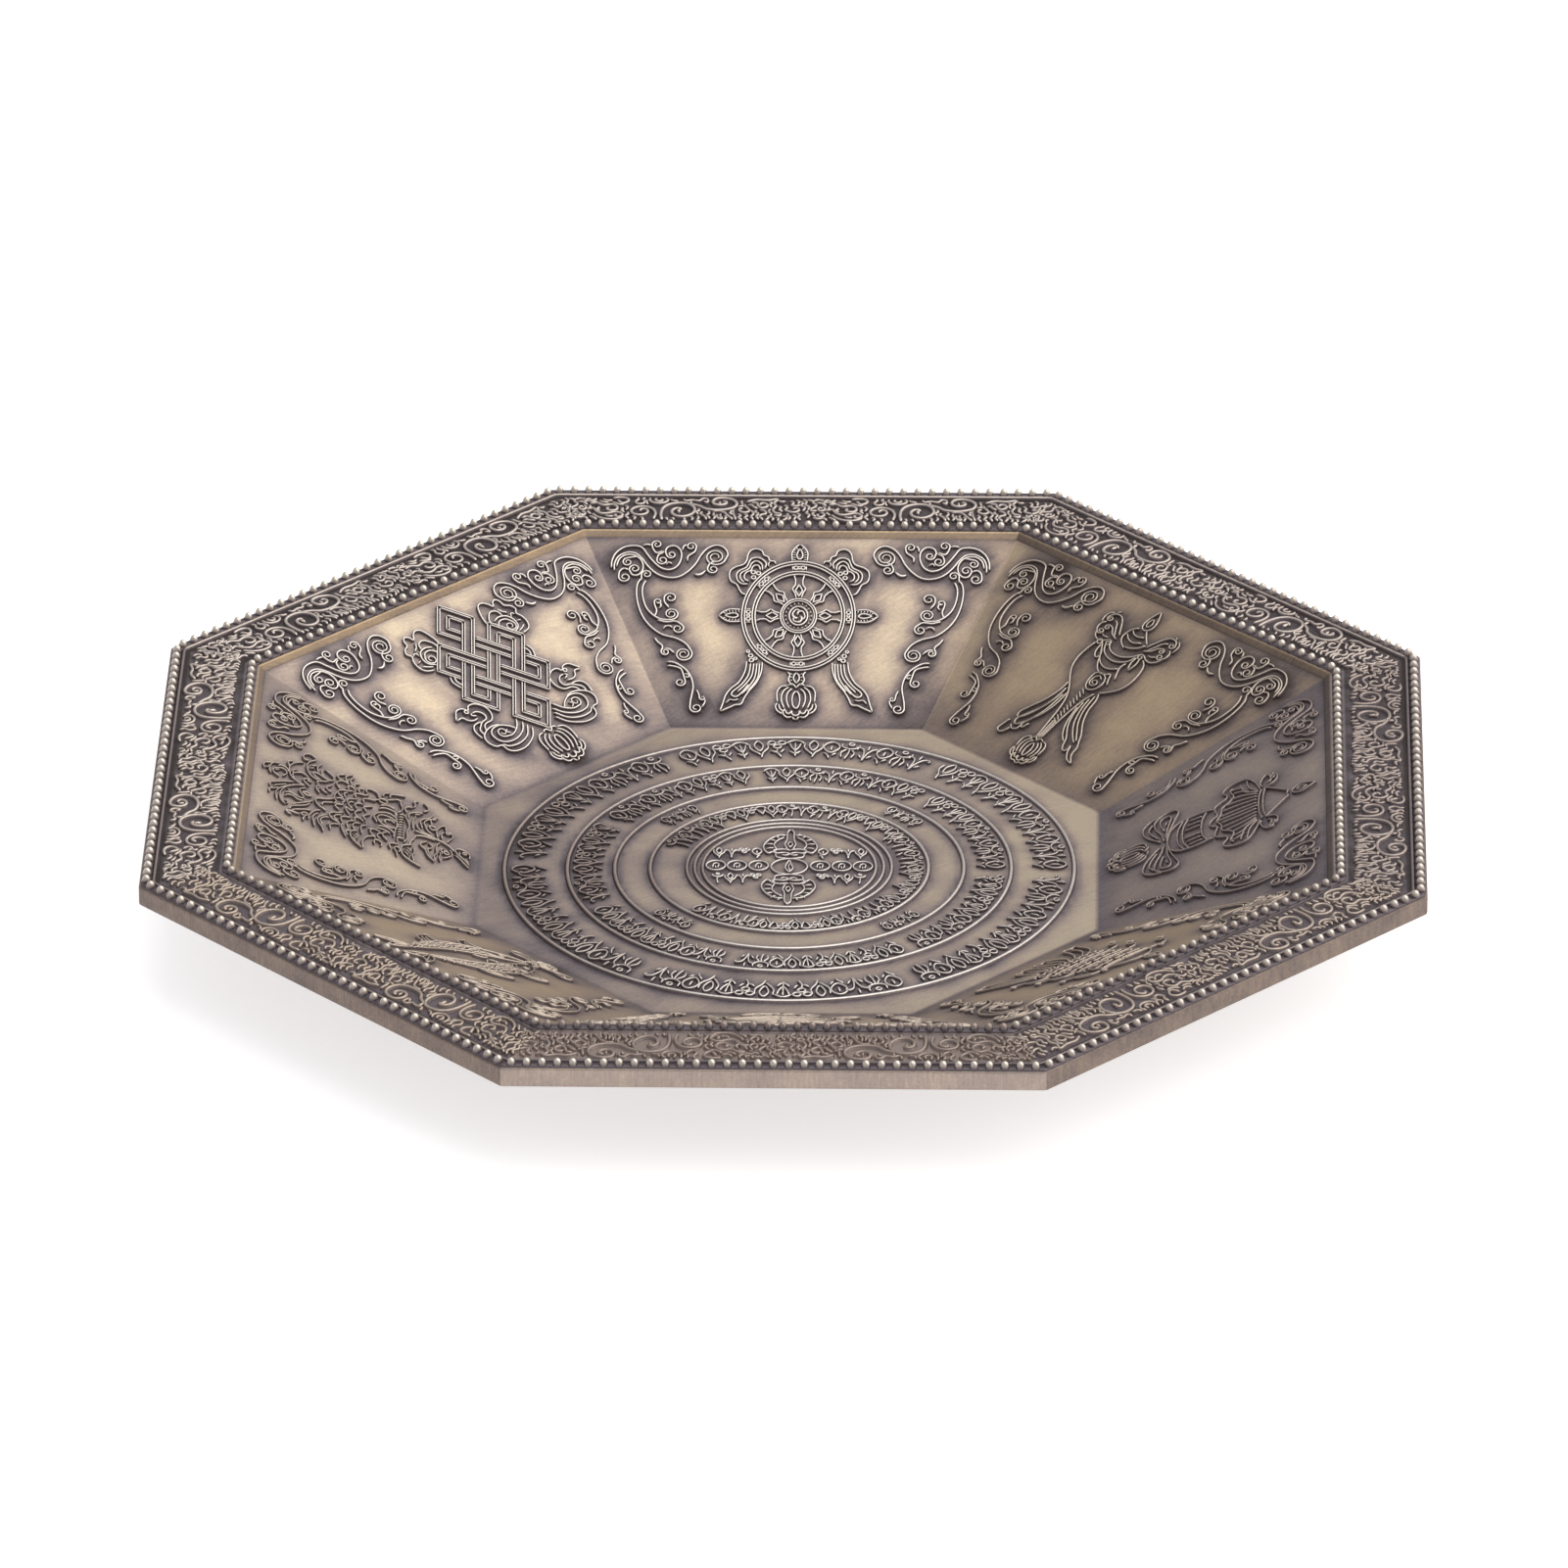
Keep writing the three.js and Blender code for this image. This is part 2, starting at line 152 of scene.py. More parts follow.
def lay_table():
    """One square sheet, a hair below the underside of the tray."""
    size, z = PAPER_HALF_SIZE, -PAPER_GAP
    mesh = bpy.data.meshes.new("table")
    mesh.from_pydata([(-size, -size, z), (size, -size, z), (size, size, z), (-size, size, z)],
                     [], [(0, 1, 2, 3)])
    mesh.materials.append(pale_paper())
    table = bpy.data.objects.new("table", mesh)
    bpy.context.scene.collection.objects.link(table)


def hang_lights():
    """A plain sky of one strength and a broad soft lamp from the right."""
    world = bpy.data.worlds.new("studio")
    world.use_nodes = True
    sky = world.node_tree.nodes["Background"]
    sky.inputs["Color"].default_value = linear(SKY)
    sky.inputs["Strength"].default_value = SKY_STRENGTH
    bpy.context.scene.world = world
    light = bpy.data.lights.new("soft_lamp", "SUN")
    light.energy = LAMP_STRENGTH
    light.angle = LAMP_SPREAD
    light.color = linear(LAMP)[:3]
    lamp = bpy.data.objects.new("soft_lamp", light)
    lamp.rotation_euler = LAMP_FROM.to_track_quat("Z", "Y").to_euler()
    bpy.context.scene.collection.objects.link(lamp)


bpy.context.scene.view_settings.view_transform = "Standard"
place_camera()
lay_table()
hang_lights()

# The casting. Floor, walls, rim and skirt of the tray are one thin casting in a zinc or brass
# alloy, plated in antique bronze: a dark wash is laid over the plating and wiped off again, so
# it stays in the hollows, in the creases and round everything that stands up from the surface.
# Painted shade and painted light are laid into that same wash as well.

SIDES = ("right", "back_right", "back", "back_left", "left", "front_left", "front", "front_right")
SIDE_ANGLE = math.tau / len(SIDES)
HALF_TAN = math.tan(SIDE_ANGLE / 2)

# Heights above the underside, and apothems: distances from the middle, square to a side
FLOOR_Z = 2.0
FLOOR_APOTHEM = 49.5
WALL_TOP = (84.9, 18.7)
LEDGE_FOOT = (84.45, 18.49)
LEDGE_APOTHEM = 85.5
RIM_Z = 19.45
RIM_APOTHEM = 100.0
SKIRT_FOOT_Z = 16.3
SKIRT_THICKNESS = 1.8
RIM_UNDER_Z = 17.65
UNDER_RIM = 86.61
UNDER_FLOOR = 49.37
INNERMOST_RING = 0.6
FLOOR_FILLET = 1.2
LEDGE_FILLET = 0.12
RIM_FILLET = 0.25
SKIRT_FILLET = 0.3
UNDER_FILLETS = (0.4, 0.6, 1.6)
# Apothem and the radius of the octagon's corners there
CORNER_RADII = ((0, 0.05), (0.6, 0.05), (49.5, 1.6), (84.9, 0.5), (98, 0.8), (100, 0.9))
WALL_TILT = math.atan2(WALL_TOP[1] - FLOOR_Z, WALL_TOP[0] - FLOOR_APOTHEM)
WALL_LENGTH = math.hypot(WALL_TOP[1] - FLOOR_Z, WALL_TOP[0] - FLOOR_APOTHEM)

COLUMNS_PER_SIDE = 48
COLUMNS_PER_CORNER = 4
# Distance between rings on the floor, wall, ledge, rim, skirt outside, foot and inside, and below
RING_STEPS = (0.85, 0.62, 0.2, 0.4, 0.8, 0.9, 0.8, 3.0, 3.0, 3.0)
FILLET_STEPS = 3

WIPED_BRONZE = "#D9C8B0"
HALF_WIPED = "#AC9C93"
PURPLE_WASH = "#746B70"
BLACK_WASH = "#3A302E"
# Yellow tint mixed in by the brass attribute: the plating's brassy tone and a painted warm reflection
BRASS_TINT_AND_REFLECTION = "#FAEED0"
# Sizes of the unevenness in the wash, with the detail of each; scratches are long and narrow
CLOUD_SIZE = 9 * MM
BLOT_SIZE = 2 * MM
SPECK_SIZE = 0.5 * MM
SCRATCH_SIZE = (3 * MM, 0.2 * MM, 3 * MM)
BRUSHED_AT = math.radians(35)
BLOTS_SHARE = 0.6
SPECKLE = 0.2
# What the wash adds to the roughness and takes from the metal, and the pitting of the surface
DULLED = 0.22
BARE_METAL = 0.95
METAL_HIDDEN = -0.45
PIT_DEPTH = 0.02 * MM
PIT_STRENGTH = 0.35


def rounded_profile(corners, steps):
    """The corners joined by straight runs, each cut into equal steps of its own length; a corner
    (x, z, fillet) becomes a quadratic curve that starts and ends a fillet length away from it."""
    points = np.array([corner[:2] for corner in corners], float)
    fillets = np.array([corner[2] for corner in corners], float)
    along = np.diff(points, axis=0)
    along /= np.linalg.norm(along, axis=1)[:, None]
    before = points[1:-1] - along[:-1] * fillets[1:-1, None]
    after = points[1:-1] + along[1:] * fillets[1:-1, None]
    t = np.linspace(0, 1, FILLET_STEPS + 1)[None, :, None]
    bends = ((1 - t) ** 2 * before[:, None] + 2 * t * (1 - t) * points[1:-1, None]
             + t ** 2 * after[:, None])
    starts = np.vstack([points[:1], after])
    ends = np.vstack([before, points[-1:]])
    pieces = []
    for index, (start, end) in enumerate(zip(starts, ends)):
        count = max(2, int(np.ceil(np.linalg.norm(end - start) / steps[index])) + 1)
        pieces.append(np.linspace(start, end, count)[(index > 0):])
        if index < len(bends):
            pieces.append(bends[index][1:])
    return np.vstack(pieces)


def octagon_rings(apothems, heights, radii):
    """Rings of points round an octagon with rounded corners: in each side's own frame the
    straight part runs at the apothem, and the corner is an arc of the radius about the point
    where the two inset sides meet; the side's frame is then turned to its place."""
    apothems, heights, radii = (np.asarray(v, float)[:, None, None] for v in (apothems, heights, radii))
    across = np.linspace(-1, 1, COLUMNS_PER_SIDE)
    turn = np.linspace(0, SIDE_ANGLE, COLUMNS_PER_CORNER + 2)[1:-1]
    inset = apothems - radii
    straight = np.stack(np.broadcast_arrays(apothems, inset * HALF_TAN * across), -1)
    bend = np.stack(np.broadcast_arrays(inset + radii * np.cos(turn),
                                        inset * HALF_TAN + radii * np.sin(turn)), -1)
    side = np.concatenate([straight, bend], 2)
    angle = np.arange(len(SIDES))[None, :, None] * SIDE_ANGLE
    x = side[..., 0] * np.cos(angle) - side[..., 1] * np.sin(angle)
    y = side[..., 0] * np.sin(angle) + side[..., 1] * np.cos(angle)
    z = np.broadcast_to(heights, x.shape)
    return np.stack([x, y, z], -1).reshape(len(x), -1, 3)


def grid_faces(rows, columns, first=0, closed_rows=False):
    """Quads of a grid whose columns close round; with closed_rows its last row joins the first."""
    row = np.arange(rows if closed_rows else rows - 1)[:, None]
    column = np.arange(columns)[None, :]
    following = (row + 1) % rows
    beside = (column + 1) % columns
    quads = np.broadcast_arrays(row * columns + column, row * columns + beside,
                                following * columns + beside, following * columns + column)
    return np.stack(quads, -1).reshape(-1, 4) + first


def solid(name, points, face_sets, material, slot, replaced, **attributes):
    """A closed mesh from points in millimetres and arrays of faces with equal corner counts. It
    rides on the tray's body and stands for the CAD nodes named in replaced."""
    mesh = bpy.data.meshes.new(name)
    face_sets = [faces for faces in face_sets if len(faces)]
    loops = np.concatenate([faces.ravel() for faces in face_sets])
    sizes = np.concatenate([np.full(len(faces), faces.shape[1]) for faces in face_sets])
    mesh.vertices.add(len(points))
    mesh.vertices.foreach_set("co", (np.asarray(points) * MM).astype(np.float32).ravel())
    mesh.loops.add(len(loops))
    mesh.loops.foreach_set("vertex_index", loops.astype(np.int32))
    mesh.polygons.add(len(sizes))
    starts = np.concatenate([[0], np.cumsum(sizes)[:-1]])
    mesh.polygons.foreach_set("loop_start", starts.astype(np.int32))
    mesh.update(calc_edges=True)
    mesh.polygons.foreach_set("use_smooth", np.ones(len(sizes), bool))
    for attribute, values in attributes.items():
        made = mesh.attributes.new(attribute, "FLOAT", "POINT")
        made.data.foreach_set("value", np.asarray(values, np.float32))
    mesh.materials.append(material)
    piece = bpy.data.objects.new(name, mesh)
    bpy.context.scene.collection.objects.link(piece)
    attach(piece, "root")
    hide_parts(*replaced)
    return piece


def antique_bronze(name, wiped, clouding, roughness, brushing):
    """Antique bronze plating. The wash attribute says how much of the dark wash is left, from 0
    wiped bright to 1 black, with painted shade and painted light laid into it; clouds of 9 mm and
    2 mm shift it by the clouding, and specks of 0.5 mm break it up. The darker it is, the duller.
    brushing is the strength of fine parallel scratches, five to the millimetre. The brass attribute
    says where the plating is yellower, and where a warm reflection is painted."""
    material, tree, output = new_material(name)
    where = add_node(tree, "ShaderNodeTexCoord").outputs["Object"]
    # The wash attribute: the dark wash, with painted shade and painted light laid into it
    wash = add_node(tree, "ShaderNodeAttribute", attribute_name="wash").outputs["Fac"]
    clouds, blots, specks = (
        add_node(tree, "ShaderNodeTexNoise", {"Vector": where, "Scale": 1 / size, "Detail": detail})
        for size, detail in ((CLOUD_SIZE, 3.0), (BLOT_SIZE, 4.0), (SPECK_SIZE, 3.0)))
    drawn = add_node(tree, "ShaderNodeMapping", {"Vector": where, "Rotation": (0, 0, BRUSHED_AT),
                                                 "Scale": SCRATCH_SIZE}, vector_type="TEXTURE")
    scratches = add_node(tree, "ShaderNodeTexNoise", {"Vector": drawn.outputs[0], "Scale": 1.0,
                                                      "Detail": 2.0})
    shifted = wash
    for noise, strength in ((clouds, clouding), (blots, clouding * BLOTS_SHARE), (specks, SPECKLE),
                            (scratches, brushing)):
        part = add_node(tree, "ShaderNodeMath", {0: noise.outputs[0], 1: -0.5}, operation="ADD")
        shifted = add_node(tree, "ShaderNodeMath", {0: part.outputs[0], 1: strength, 2: shifted},
                           operation="MULTIPLY_ADD").outputs[0]
    scaled = add_node(tree, "ShaderNodeMath", {0: shifted, 1: 0.0}, operation="ADD", use_clamp=True)
    tone = add_node(tree, "ShaderNodeValToRGB", {0: scaled.outputs[0]})
    stops = ((0.0, wiped), (0.32, HALF_WIPED), (0.66, PURPLE_WASH), (1.0, BLACK_WASH))
    while len(tone.color_ramp.elements) < len(stops):
        tone.color_ramp.elements.new(0.5)
    for element, (position, colour) in zip(tone.color_ramp.elements, stops):
        element.position = position
        element.color = linear(colour)
    # The brass attribute: brassy plating, and a painted warm reflection
    brass = add_node(tree, "ShaderNodeAttribute", attribute_name="brass").outputs["Fac"]
    tinted = add_node(tree, "ShaderNodeMix", {0: brass, 6: tone.outputs[0], 7: linear(BRASS_TINT_AND_REFLECTION)},
                      data_type="RGBA", blend_type="MULTIPLY")
    dull = add_node(tree, "ShaderNodeMath", {0: scaled.outputs[0], 1: DULLED, 2: roughness},
                    operation="MULTIPLY_ADD")
    metal = add_node(tree, "ShaderNodeMath", {0: scaled.outputs[0], 1: METAL_HIDDEN, 2: BARE_METAL},
                     operation="MULTIPLY_ADD")
    rough = add_node(tree, "ShaderNodeMath", {0: specks.outputs[0], 1: scratches.outputs[0]},
                     operation="ADD")
    bump = add_node(tree, "ShaderNodeBump", {
        "Height": rough.outputs[0], "Strength": PIT_STRENGTH, "Distance": PIT_DEPTH})
    bronze = add_node(tree, "ShaderNodeBsdfPrincipled", {
        "Base Color": tinted.outputs[2], "Metallic": metal.outputs[0], "Roughness": dull.outputs[0],
        "Normal": bump.outputs[0]})
    tree.links.new(bronze.outputs[0], output.inputs[0])
    return material


def casting():
    """A profile turned into octagon rings: up the inside from the middle of the floor, over the
    ledge and rim, round the skirt and back underneath; both ends close in one point."""
    skirt_inside = RIM_APOTHEM - SKIRT_THICKNESS
    profile = rounded_profile([
        (INNERMOST_RING, FLOOR_Z, 0), (FLOOR_APOTHEM, FLOOR_Z, FLOOR_FILLET),
        (*LEDGE_FOOT, LEDGE_FILLET), (LEDGE_APOTHEM, RIM_Z, LEDGE_FILLET),
        (RIM_APOTHEM, RIM_Z, RIM_FILLET), (RIM_APOTHEM, SKIRT_FOOT_Z, SKIRT_FILLET),
        (skirt_inside, SKIRT_FOOT_Z, SKIRT_FILLET), (skirt_inside, RIM_UNDER_Z, UNDER_FILLETS[0]),
        (UNDER_RIM, RIM_UNDER_Z, UNDER_FILLETS[1]), (UNDER_FLOOR, 0, UNDER_FILLETS[2]),
        (INNERMOST_RING, 0, 0)], RING_STEPS)
    apothems, heights = profile.T
    radii = np.interp(apothems, *np.array(CORNER_RADII).T)
    rings = octagon_rings(apothems, heights, radii)
    rows, columns = rings.shape[:2]
    points = np.vstack([rings.reshape(-1, 3), [[0, 0, FLOOR_Z], [0, 0, 0]]])
    quads = grid_faces(rows, columns)[:, ::-1]
    column = np.arange(columns)
    beside = (column + 1) % columns
    top = np.stack([column, beside, np.full(columns, len(points) - 2)], -1)
    last = (rows - 1) * columns
    bottom = np.stack([last + beside, last + column, np.full(columns, len(points) - 1)], -1)
    return points, [quads, top, bottom]


shell_points, shell_faces = casting()
shell_bronze = antique_bronze("antique_bronze_plated_casting", WIPED_BRONZE, clouding=0.22,
                              roughness=0.36, brushing=0.24)
shell = solid("tray_casting", shell_points, shell_faces, shell_bronze, "casting", ["tray_shell"],
              wash=np.zeros(len(shell_points)), brass=np.zeros(len(shell_points)))

# Corner scrolls. Two leafy scrolls hang from the top corners of every wall and trail down the
# creases. They are cast with the wall as thin rounded ridges, half a millimetre high, whose
# crowns are rubbed bright while their flanks keep the wash.

RUBBED_CROWN = "#FFF8F0"
DRAWN_PER_MM = 14
DRAWN_MIDDLE = 518
RIDGE_HALF_WIDTH = 0.165
RIDGE_HEIGHT = 0.5
RIDGE_STEP = 0.3
CURL_STEP = 0.3
CURL_SHRINKS = 0.75
CURL_THINS = 0.66
SPAN_SAMPLES = 12
SWELL_PLACES = 12
END_WIDTH = 0.55
END_HEIGHT = 0.7
# The ridge's section from its left foot to its right one: share of the half width, share of the
# height, wash. A thin toe at each foot holds the wash, with painted shade round the ridge's foot,
# and runs out under the surface.
RIDGE_SECTION = np.array([(-1.9, -0.1, 0.48), (-1.1, 0.08, 0.88), (-0.9, 0.6, 0.5), (-0.6, 1, 0),
                          (0.6, 1, 0), (0.9, 0.6, 0.5), (1.1, 0.08, 0.88), (1.9, -0.1, 0.48)])
# The faces that close an open end, between corners of the section
RIDGE_CAP = np.array([[0, 7, 6, 1], [1, 6, 5, 2], [2, 5, 4, 3]])


def spline(points, closed=False):
    """A Catmull-Rom curve through the points: on each span the cubic with the end slopes taken
    from the neighbouring points; twelve samples to a span."""
    points = np.reshape(points, (-1, 2)).astype(float)
    if len(points) == 2 and not closed:
        return points
    if closed:
        padded = np.vstack([points[-1:], points, points[:2]])
    else:
        padded = np.vstack([2 * points[0] - points[1], points, 2 * points[-1] - points[-2]])
    p0, p1, p2, p3 = (padded[i:len(padded) - 3 + i, None] for i in range(4))
    t = np.linspace(0, 1, SPAN_SAMPLES + 1)[None, :-1, None]
    curve = 0.5 * (2 * p1 + (p2 - p0) * t + (2 * p0 - 5 * p1 + 4 * p2 - p3) * t ** 2
                   + (3 * p1 - p0 - 3 * p2 + p3) * t ** 3)
    curve = curve.reshape(-1, 2)
    return np.vstack([curve, curve[:1] if closed else points[-1:]])


def with_curl(line, radius, turns):
    """The line, ending in a spiral that leaves it without a kink: its radius shrinks evenly to a
    quarter as it turns. A positive radius curls clockwise in the drawing."""
    heading = line[-1] - line[-2]
    heading = heading / np.linalg.norm(heading)
    to_centre = np.array([-heading[1], heading[0]]) * np.sign(radius)
    size = abs(radius)
    angle = np.arange(CURL_STEP, turns * math.tau, CURL_STEP)
    reach = size * (1 - CURL_SHRINKS * angle / (turns * math.tau))
    spin = np.sign(radius) * angle
    start = -to_centre
    around = np.stack([start[0] * np.cos(spin) - start[1] * np.sin(spin),
                       start[0] * np.sin(spin) + start[1] * np.cos(spin)], -1)
    return np.vstack([line, line[-1] + to_centre * size + around * reach[:, None]])


def ridge(points, curl=0, width=1.0, closed=False, turns=1.4, height=1.0, swell=None,
          straight=False):
    """One ridge of a drawing: its line, whether it closes, and its half width and height as
    shares of the usual ones; swell gives the half width in several places along it. A curl
    thins evenly to two thirds."""
    line = np.reshape(points, (-1, 2)).astype(float)
    if straight:
        line = np.vstack([line, line[:1]]) if closed else line
    else:
        line = spline(points, closed)
    if curl:
        stem = np.linalg.norm(np.diff(line, axis=0), axis=1).sum()
        line = with_curl(line, curl, turns)
        share = stem / np.linalg.norm(np.diff(line, axis=0), axis=1).sum()
        swell = np.interp(np.linspace(0, 1, SWELL_PLACES), [0, share, 1],
                          [width, width, CURL_THINS * width])
    return {"line": line, "closed": closed, "width": width if swell is None else swell,
            "height": height}


def slim(points):
    """A ridge nine tenths as wide as the usual one."""
    return ridge(points, width=0.9)


def fine(points):
    """A ridge four fifths as wide as the usual one."""
    return ridge(points, width=0.8)


def mirrored(drawing, middle=DRAWN_MIDDLE):
    """The drawing turned over left to right about the middle."""
    return [dict(stroke, line=stroke["line"] * (-1, 1) + (2 * middle, 0)) for stroke in drawing]


def raised(drawing, to_place, scale=DRAWN_PER_MM, origin=(DRAWN_MIDDLE, DRAWN_PER_MM),
           step=RIDGE_STEP, half_width=RIDGE_HALF_WIDTH, height=RIDGE_HEIGHT):
    """Sweeps the ridge section along every line of a drawing. Each line is cut into even steps;
    the section stands square to it and shrinks at open ends. to_place carries drawing
    millimetres (across, down, off the surface) into the tray's frame. Returns points, faces and
    the share of the dark wash: none on the crowns, nearly all at the feet, where it is partly
    painted shade."""
    points, quads, wash, count = [], [], [], 0
    corners = len(RIDGE_SECTION)
    for stroke in drawing:
        line = (stroke["line"] - origin) / scale
        lengths = np.concatenate([[0], np.cumsum(np.linalg.norm(np.diff(line, axis=0), axis=1))])
        rings = max(4 if stroke["closed"] else 3, int(lengths[-1] / step) + 1)
        s = np.linspace(0, lengths[-1], rings, endpoint=not stroke["closed"])
        path = np.stack([np.interp(s, lengths, line[:, 0]), np.interp(s, lengths, line[:, 1])], -1)
        if stroke["closed"]:
            heading = np.roll(path, -1, 0) - np.roll(path, 1, 0)
        else:
            heading = np.gradient(path, axis=0)
        heading /= np.linalg.norm(heading, axis=1)[:, None] + 1e-9
        normal = np.stack([-heading[:, 1], heading[:, 0]], -1)
        shares = np.atleast_1d(np.asarray(stroke["width"], float))
        width = np.interp(s / max(lengths[-1], 1e-9), np.linspace(0, 1, len(shares)), shares)
        tall = np.full(rings, float(stroke["height"]))
        if not stroke["closed"]:
            width[[0, -1]] *= END_WIDTH
            tall[[0, -1]] *= END_HEIGHT
        across = RIDGE_SECTION[None, :, :1] * width[:, None, None] * half_width
        up = RIDGE_SECTION[None, :, 1] * tall[:, None] * height
        flat = path[:, None] + normal[:, None] * across
        points.append(np.concatenate([flat, up[..., None]], -1).reshape(-1, 3))
        wash.append(np.broadcast_to(RIDGE_SECTION[None, :, 2], (rings, corners)).ravel())
        quads.append(grid_faces(rings, corners, count, stroke["closed"]))
        if not stroke["closed"]:
            far_end = RIDGE_CAP[:, ::-1] + count + (rings - 1) * corners
            quads.append(np.vstack([RIDGE_CAP + count, far_end]))
        count += rings * corners
    return to_place(np.vstack(points)), np.vstack(quads), np.concatenate(wash)


def on_wall(side):
    """Carries drawing millimetres to the wall of a side: across, then down the slope from the
    top of the wall, then square off the wall."""
    turn = SIDES.index(side) * SIDE_ANGLE - math.pi / 2
    sin_turn, cos_turn = math.sin(turn), math.cos(turn)
    sin_tilt, cos_tilt = math.sin(WALL_TILT), math.cos(WALL_TILT)

    def place(points):
        across, down, off = points.T
        out = WALL_TOP[0] - down * cos_tilt - off * sin_tilt
        z = WALL_TOP[1] - down * sin_tilt + off * cos_tilt
        return np.stack([across * cos_turn - out * sin_turn,
                         across * sin_turn + out * cos_turn, z], -1)
    return place


def scroll_drawing():
    """The left scroll, drawn fourteen units to the millimetre from the left end of the wall's
    drawing: volutes under the rim, the double stem down the crease, its clusters and sprig."""
    return [
        ridge([88, 112, 89, 92, 97, 70, 115, 53, 138, 48, 156, 53, 168, 71, 182, 92, 200, 111,
               220, 117, 237, 107, 246, 85, 245, 62, 232, 48, 216, 51, 210, 63, 213, 76], -11),
        ridge([95, 120, 95, 100, 103, 80, 122, 68, 142, 70, 157, 85, 172, 108, 192, 129, 215, 139,
               240, 138, 262, 122, 280, 98, 291, 74, 305, 55, 325, 45, 343, 52, 352, 70, 347, 87],
              24, turns=2.1),
        ridge([100, 108, 105, 88, 120, 75, 140, 76, 154, 88, 160, 105, 158, 122, 149, 133, 137, 133,
               130, 122], 13),
        ridge([146, 79, 136, 81, 122, 84], -12),
        ridge([128, 118, 116, 114, 107, 123, 105, 138], -14),
        ridge([157, 148, 157, 131], 12),
        ridge([157, 142, 149, 158, 147, 185, 152, 220, 164, 255, 183, 283, 208, 304, 240, 315,
               262, 330, 275, 350], 20, turns=2.1),
        ridge([168, 147, 161, 166, 161, 192, 169, 224, 184, 246, 204, 260, 226, 262], -17, turns=1.9),
        ridge([222, 226, 212, 212, 210, 201], 15),
        ridge([190, 253, 194, 236, 190, 222, 188, 212], 9, turns=1.2),
        ridge([199, 228, 204, 222, 202, 213], -4, turns=0.6),
        ridge([196, 262, 216, 268, 238, 266, 252, 276], 14),
        slim([211, 288, 214, 281, 224, 279, 231, 284]),
        ridge([209, 66, 200, 65, 190, 69, 183, 60, 179, 48], 12),
        ridge([157, 46, 168, 44, 178, 46]),
        ridge([206, 68, 195, 73, 191, 86], -13),
        slim([212, 102, 218, 95, 226, 100]),
        ridge([261, 91, 261, 79, 269, 71, 277, 64, 280, 52], -12),
        ridge([249, 60, 251, 49, 259, 43]),
        ridge([323, 93, 312, 98, 307, 110], -13),
        ridge([276, 127, 284, 131, 294, 128, 304, 117], swell=[0.7, 1.6, 1.2, 0.7]),
        ridge([190, 312, 199, 326, 210, 338, 207, 352], -10),
        ridge([212, 345, 225, 346, 237, 357]),
        ridge([220, 382, 236, 384, 251, 393, 266, 407, 277, 428, 282, 452, 280, 474, 277, 494,
               276, 514], -14),
        ridge([221, 393, 238, 396, 253, 403, 259, 420, 264, 438], 12),
        ridge([261, 416, 269, 418], 6, width=0.9, turns=1.0),
        ridge([289, 461, 295, 474, 297, 487], -7, width=0.9, turns=1.1),
        slim([310, 488, 309, 500, 303, 512]),
    ]


# Wash and painted shade on the crowns of each side's wall relief, and how brassy they are, with a
# painted warm reflection in the brass
CROWNS_WASH_AND_SHADE = {"right": 0.3, "back_right": 0.17, "left": 0.2, "front_left": 0.14, "front": 0.12,
               "front_right": 0.16}
CROWN_BRASS_AND_REFLECTION = {"back_right": 0.3, "left": 0.2, "front_left": 0.35, "front": 0.35, "front_right": 0.35}


def side_wash(side, wash):
    """The wash and painted shade of a side's wall relief: what its crowns keep, with the hollows on top
    of it.
    """
    kept_wash_and_shade = CROWNS_WASH_AND_SHADE.get(side, 0)
    return kept_wash_and_shade + (1 - kept_wash_and_shade) * wash


def side_brass(side, wash):
    """How brassy a side's wall relief is, the same all over: brass tint with a painted warm reflection.
    """
    return np.full(len(wash), CROWN_BRASS_AND_REFLECTION.get(side, 0.0))


relief_bronze = antique_bronze("antique_bronze_rubbed_relief", RUBBED_CROWN, clouding=0.1,
                               roughness=0.32, brushing=0.03)
scroll = scroll_drawing()
relief_pieces = []
for side in SIDES:
    for hand, drawing in (("l", scroll), ("r", mirrored(scroll))):
        points, quads, wash = raised(drawing, on_wall(side))
        name = f"scroll_{side}_{hand}"
        relief_pieces.append(solid(f"corner_{name}", points, [quads], relief_bronze, "relief", [name],
                                   wash=side_wash(side, wash), brass=side_brass(side, wash)))

# The eight auspicious symbols, one in the middle of each wall, cast in the same thin ridges as
# the scrolls: wheel, knot, lotus, pair of fish, vase, banner, parasol and conch, most of them
# tied with ribbons over a lotus bud.


def placed(drawing, x, y, turn=0, size=1.0, flip=1):
    """A drawing made round its own zero: flipped, scaled, turned clockwise by degrees, moved."""
    sin_turn, cos_turn = math.sin(math.radians(turn)), math.cos(math.radians(turn))
    spin = np.array([[cos_turn, sin_turn], [-sin_turn, cos_turn]])
    return [dict(stroke, line=stroke["line"] * (flip * size, size) @ spin + (x, y))
            for stroke in drawing]


def both(drawing, middle=0):
    """The drawing and its mirror image."""
    return drawing + mirrored(drawing, middle)


def oval(x, y, across, down=None, **style):
    """A closed ridge along an ellipse with these half axes."""
    angle = np.linspace(0, math.tau, max(8, int(across * 1.2)), endpoint=False)
    down = across if down is None else down
    line = np.stack([x + across * np.cos(angle), y + down * np.sin(angle)], -1)
    return ridge(line, closed=True, straight=True, **style)


def dot(x, y, size):
    """A short round boss."""
    return ridge([x - size * 0.6, y, x + size * 0.6, y], width=size / RIDGE_HALF_WIDTH / DRAWN_PER_MM,
                 straight=True)


def in_ridges(drawn):
    """A drawing in which every plain list of points becomes a ridge of the usual width."""
    return [one if isinstance(one, dict) else ridge(one) for one in drawn]


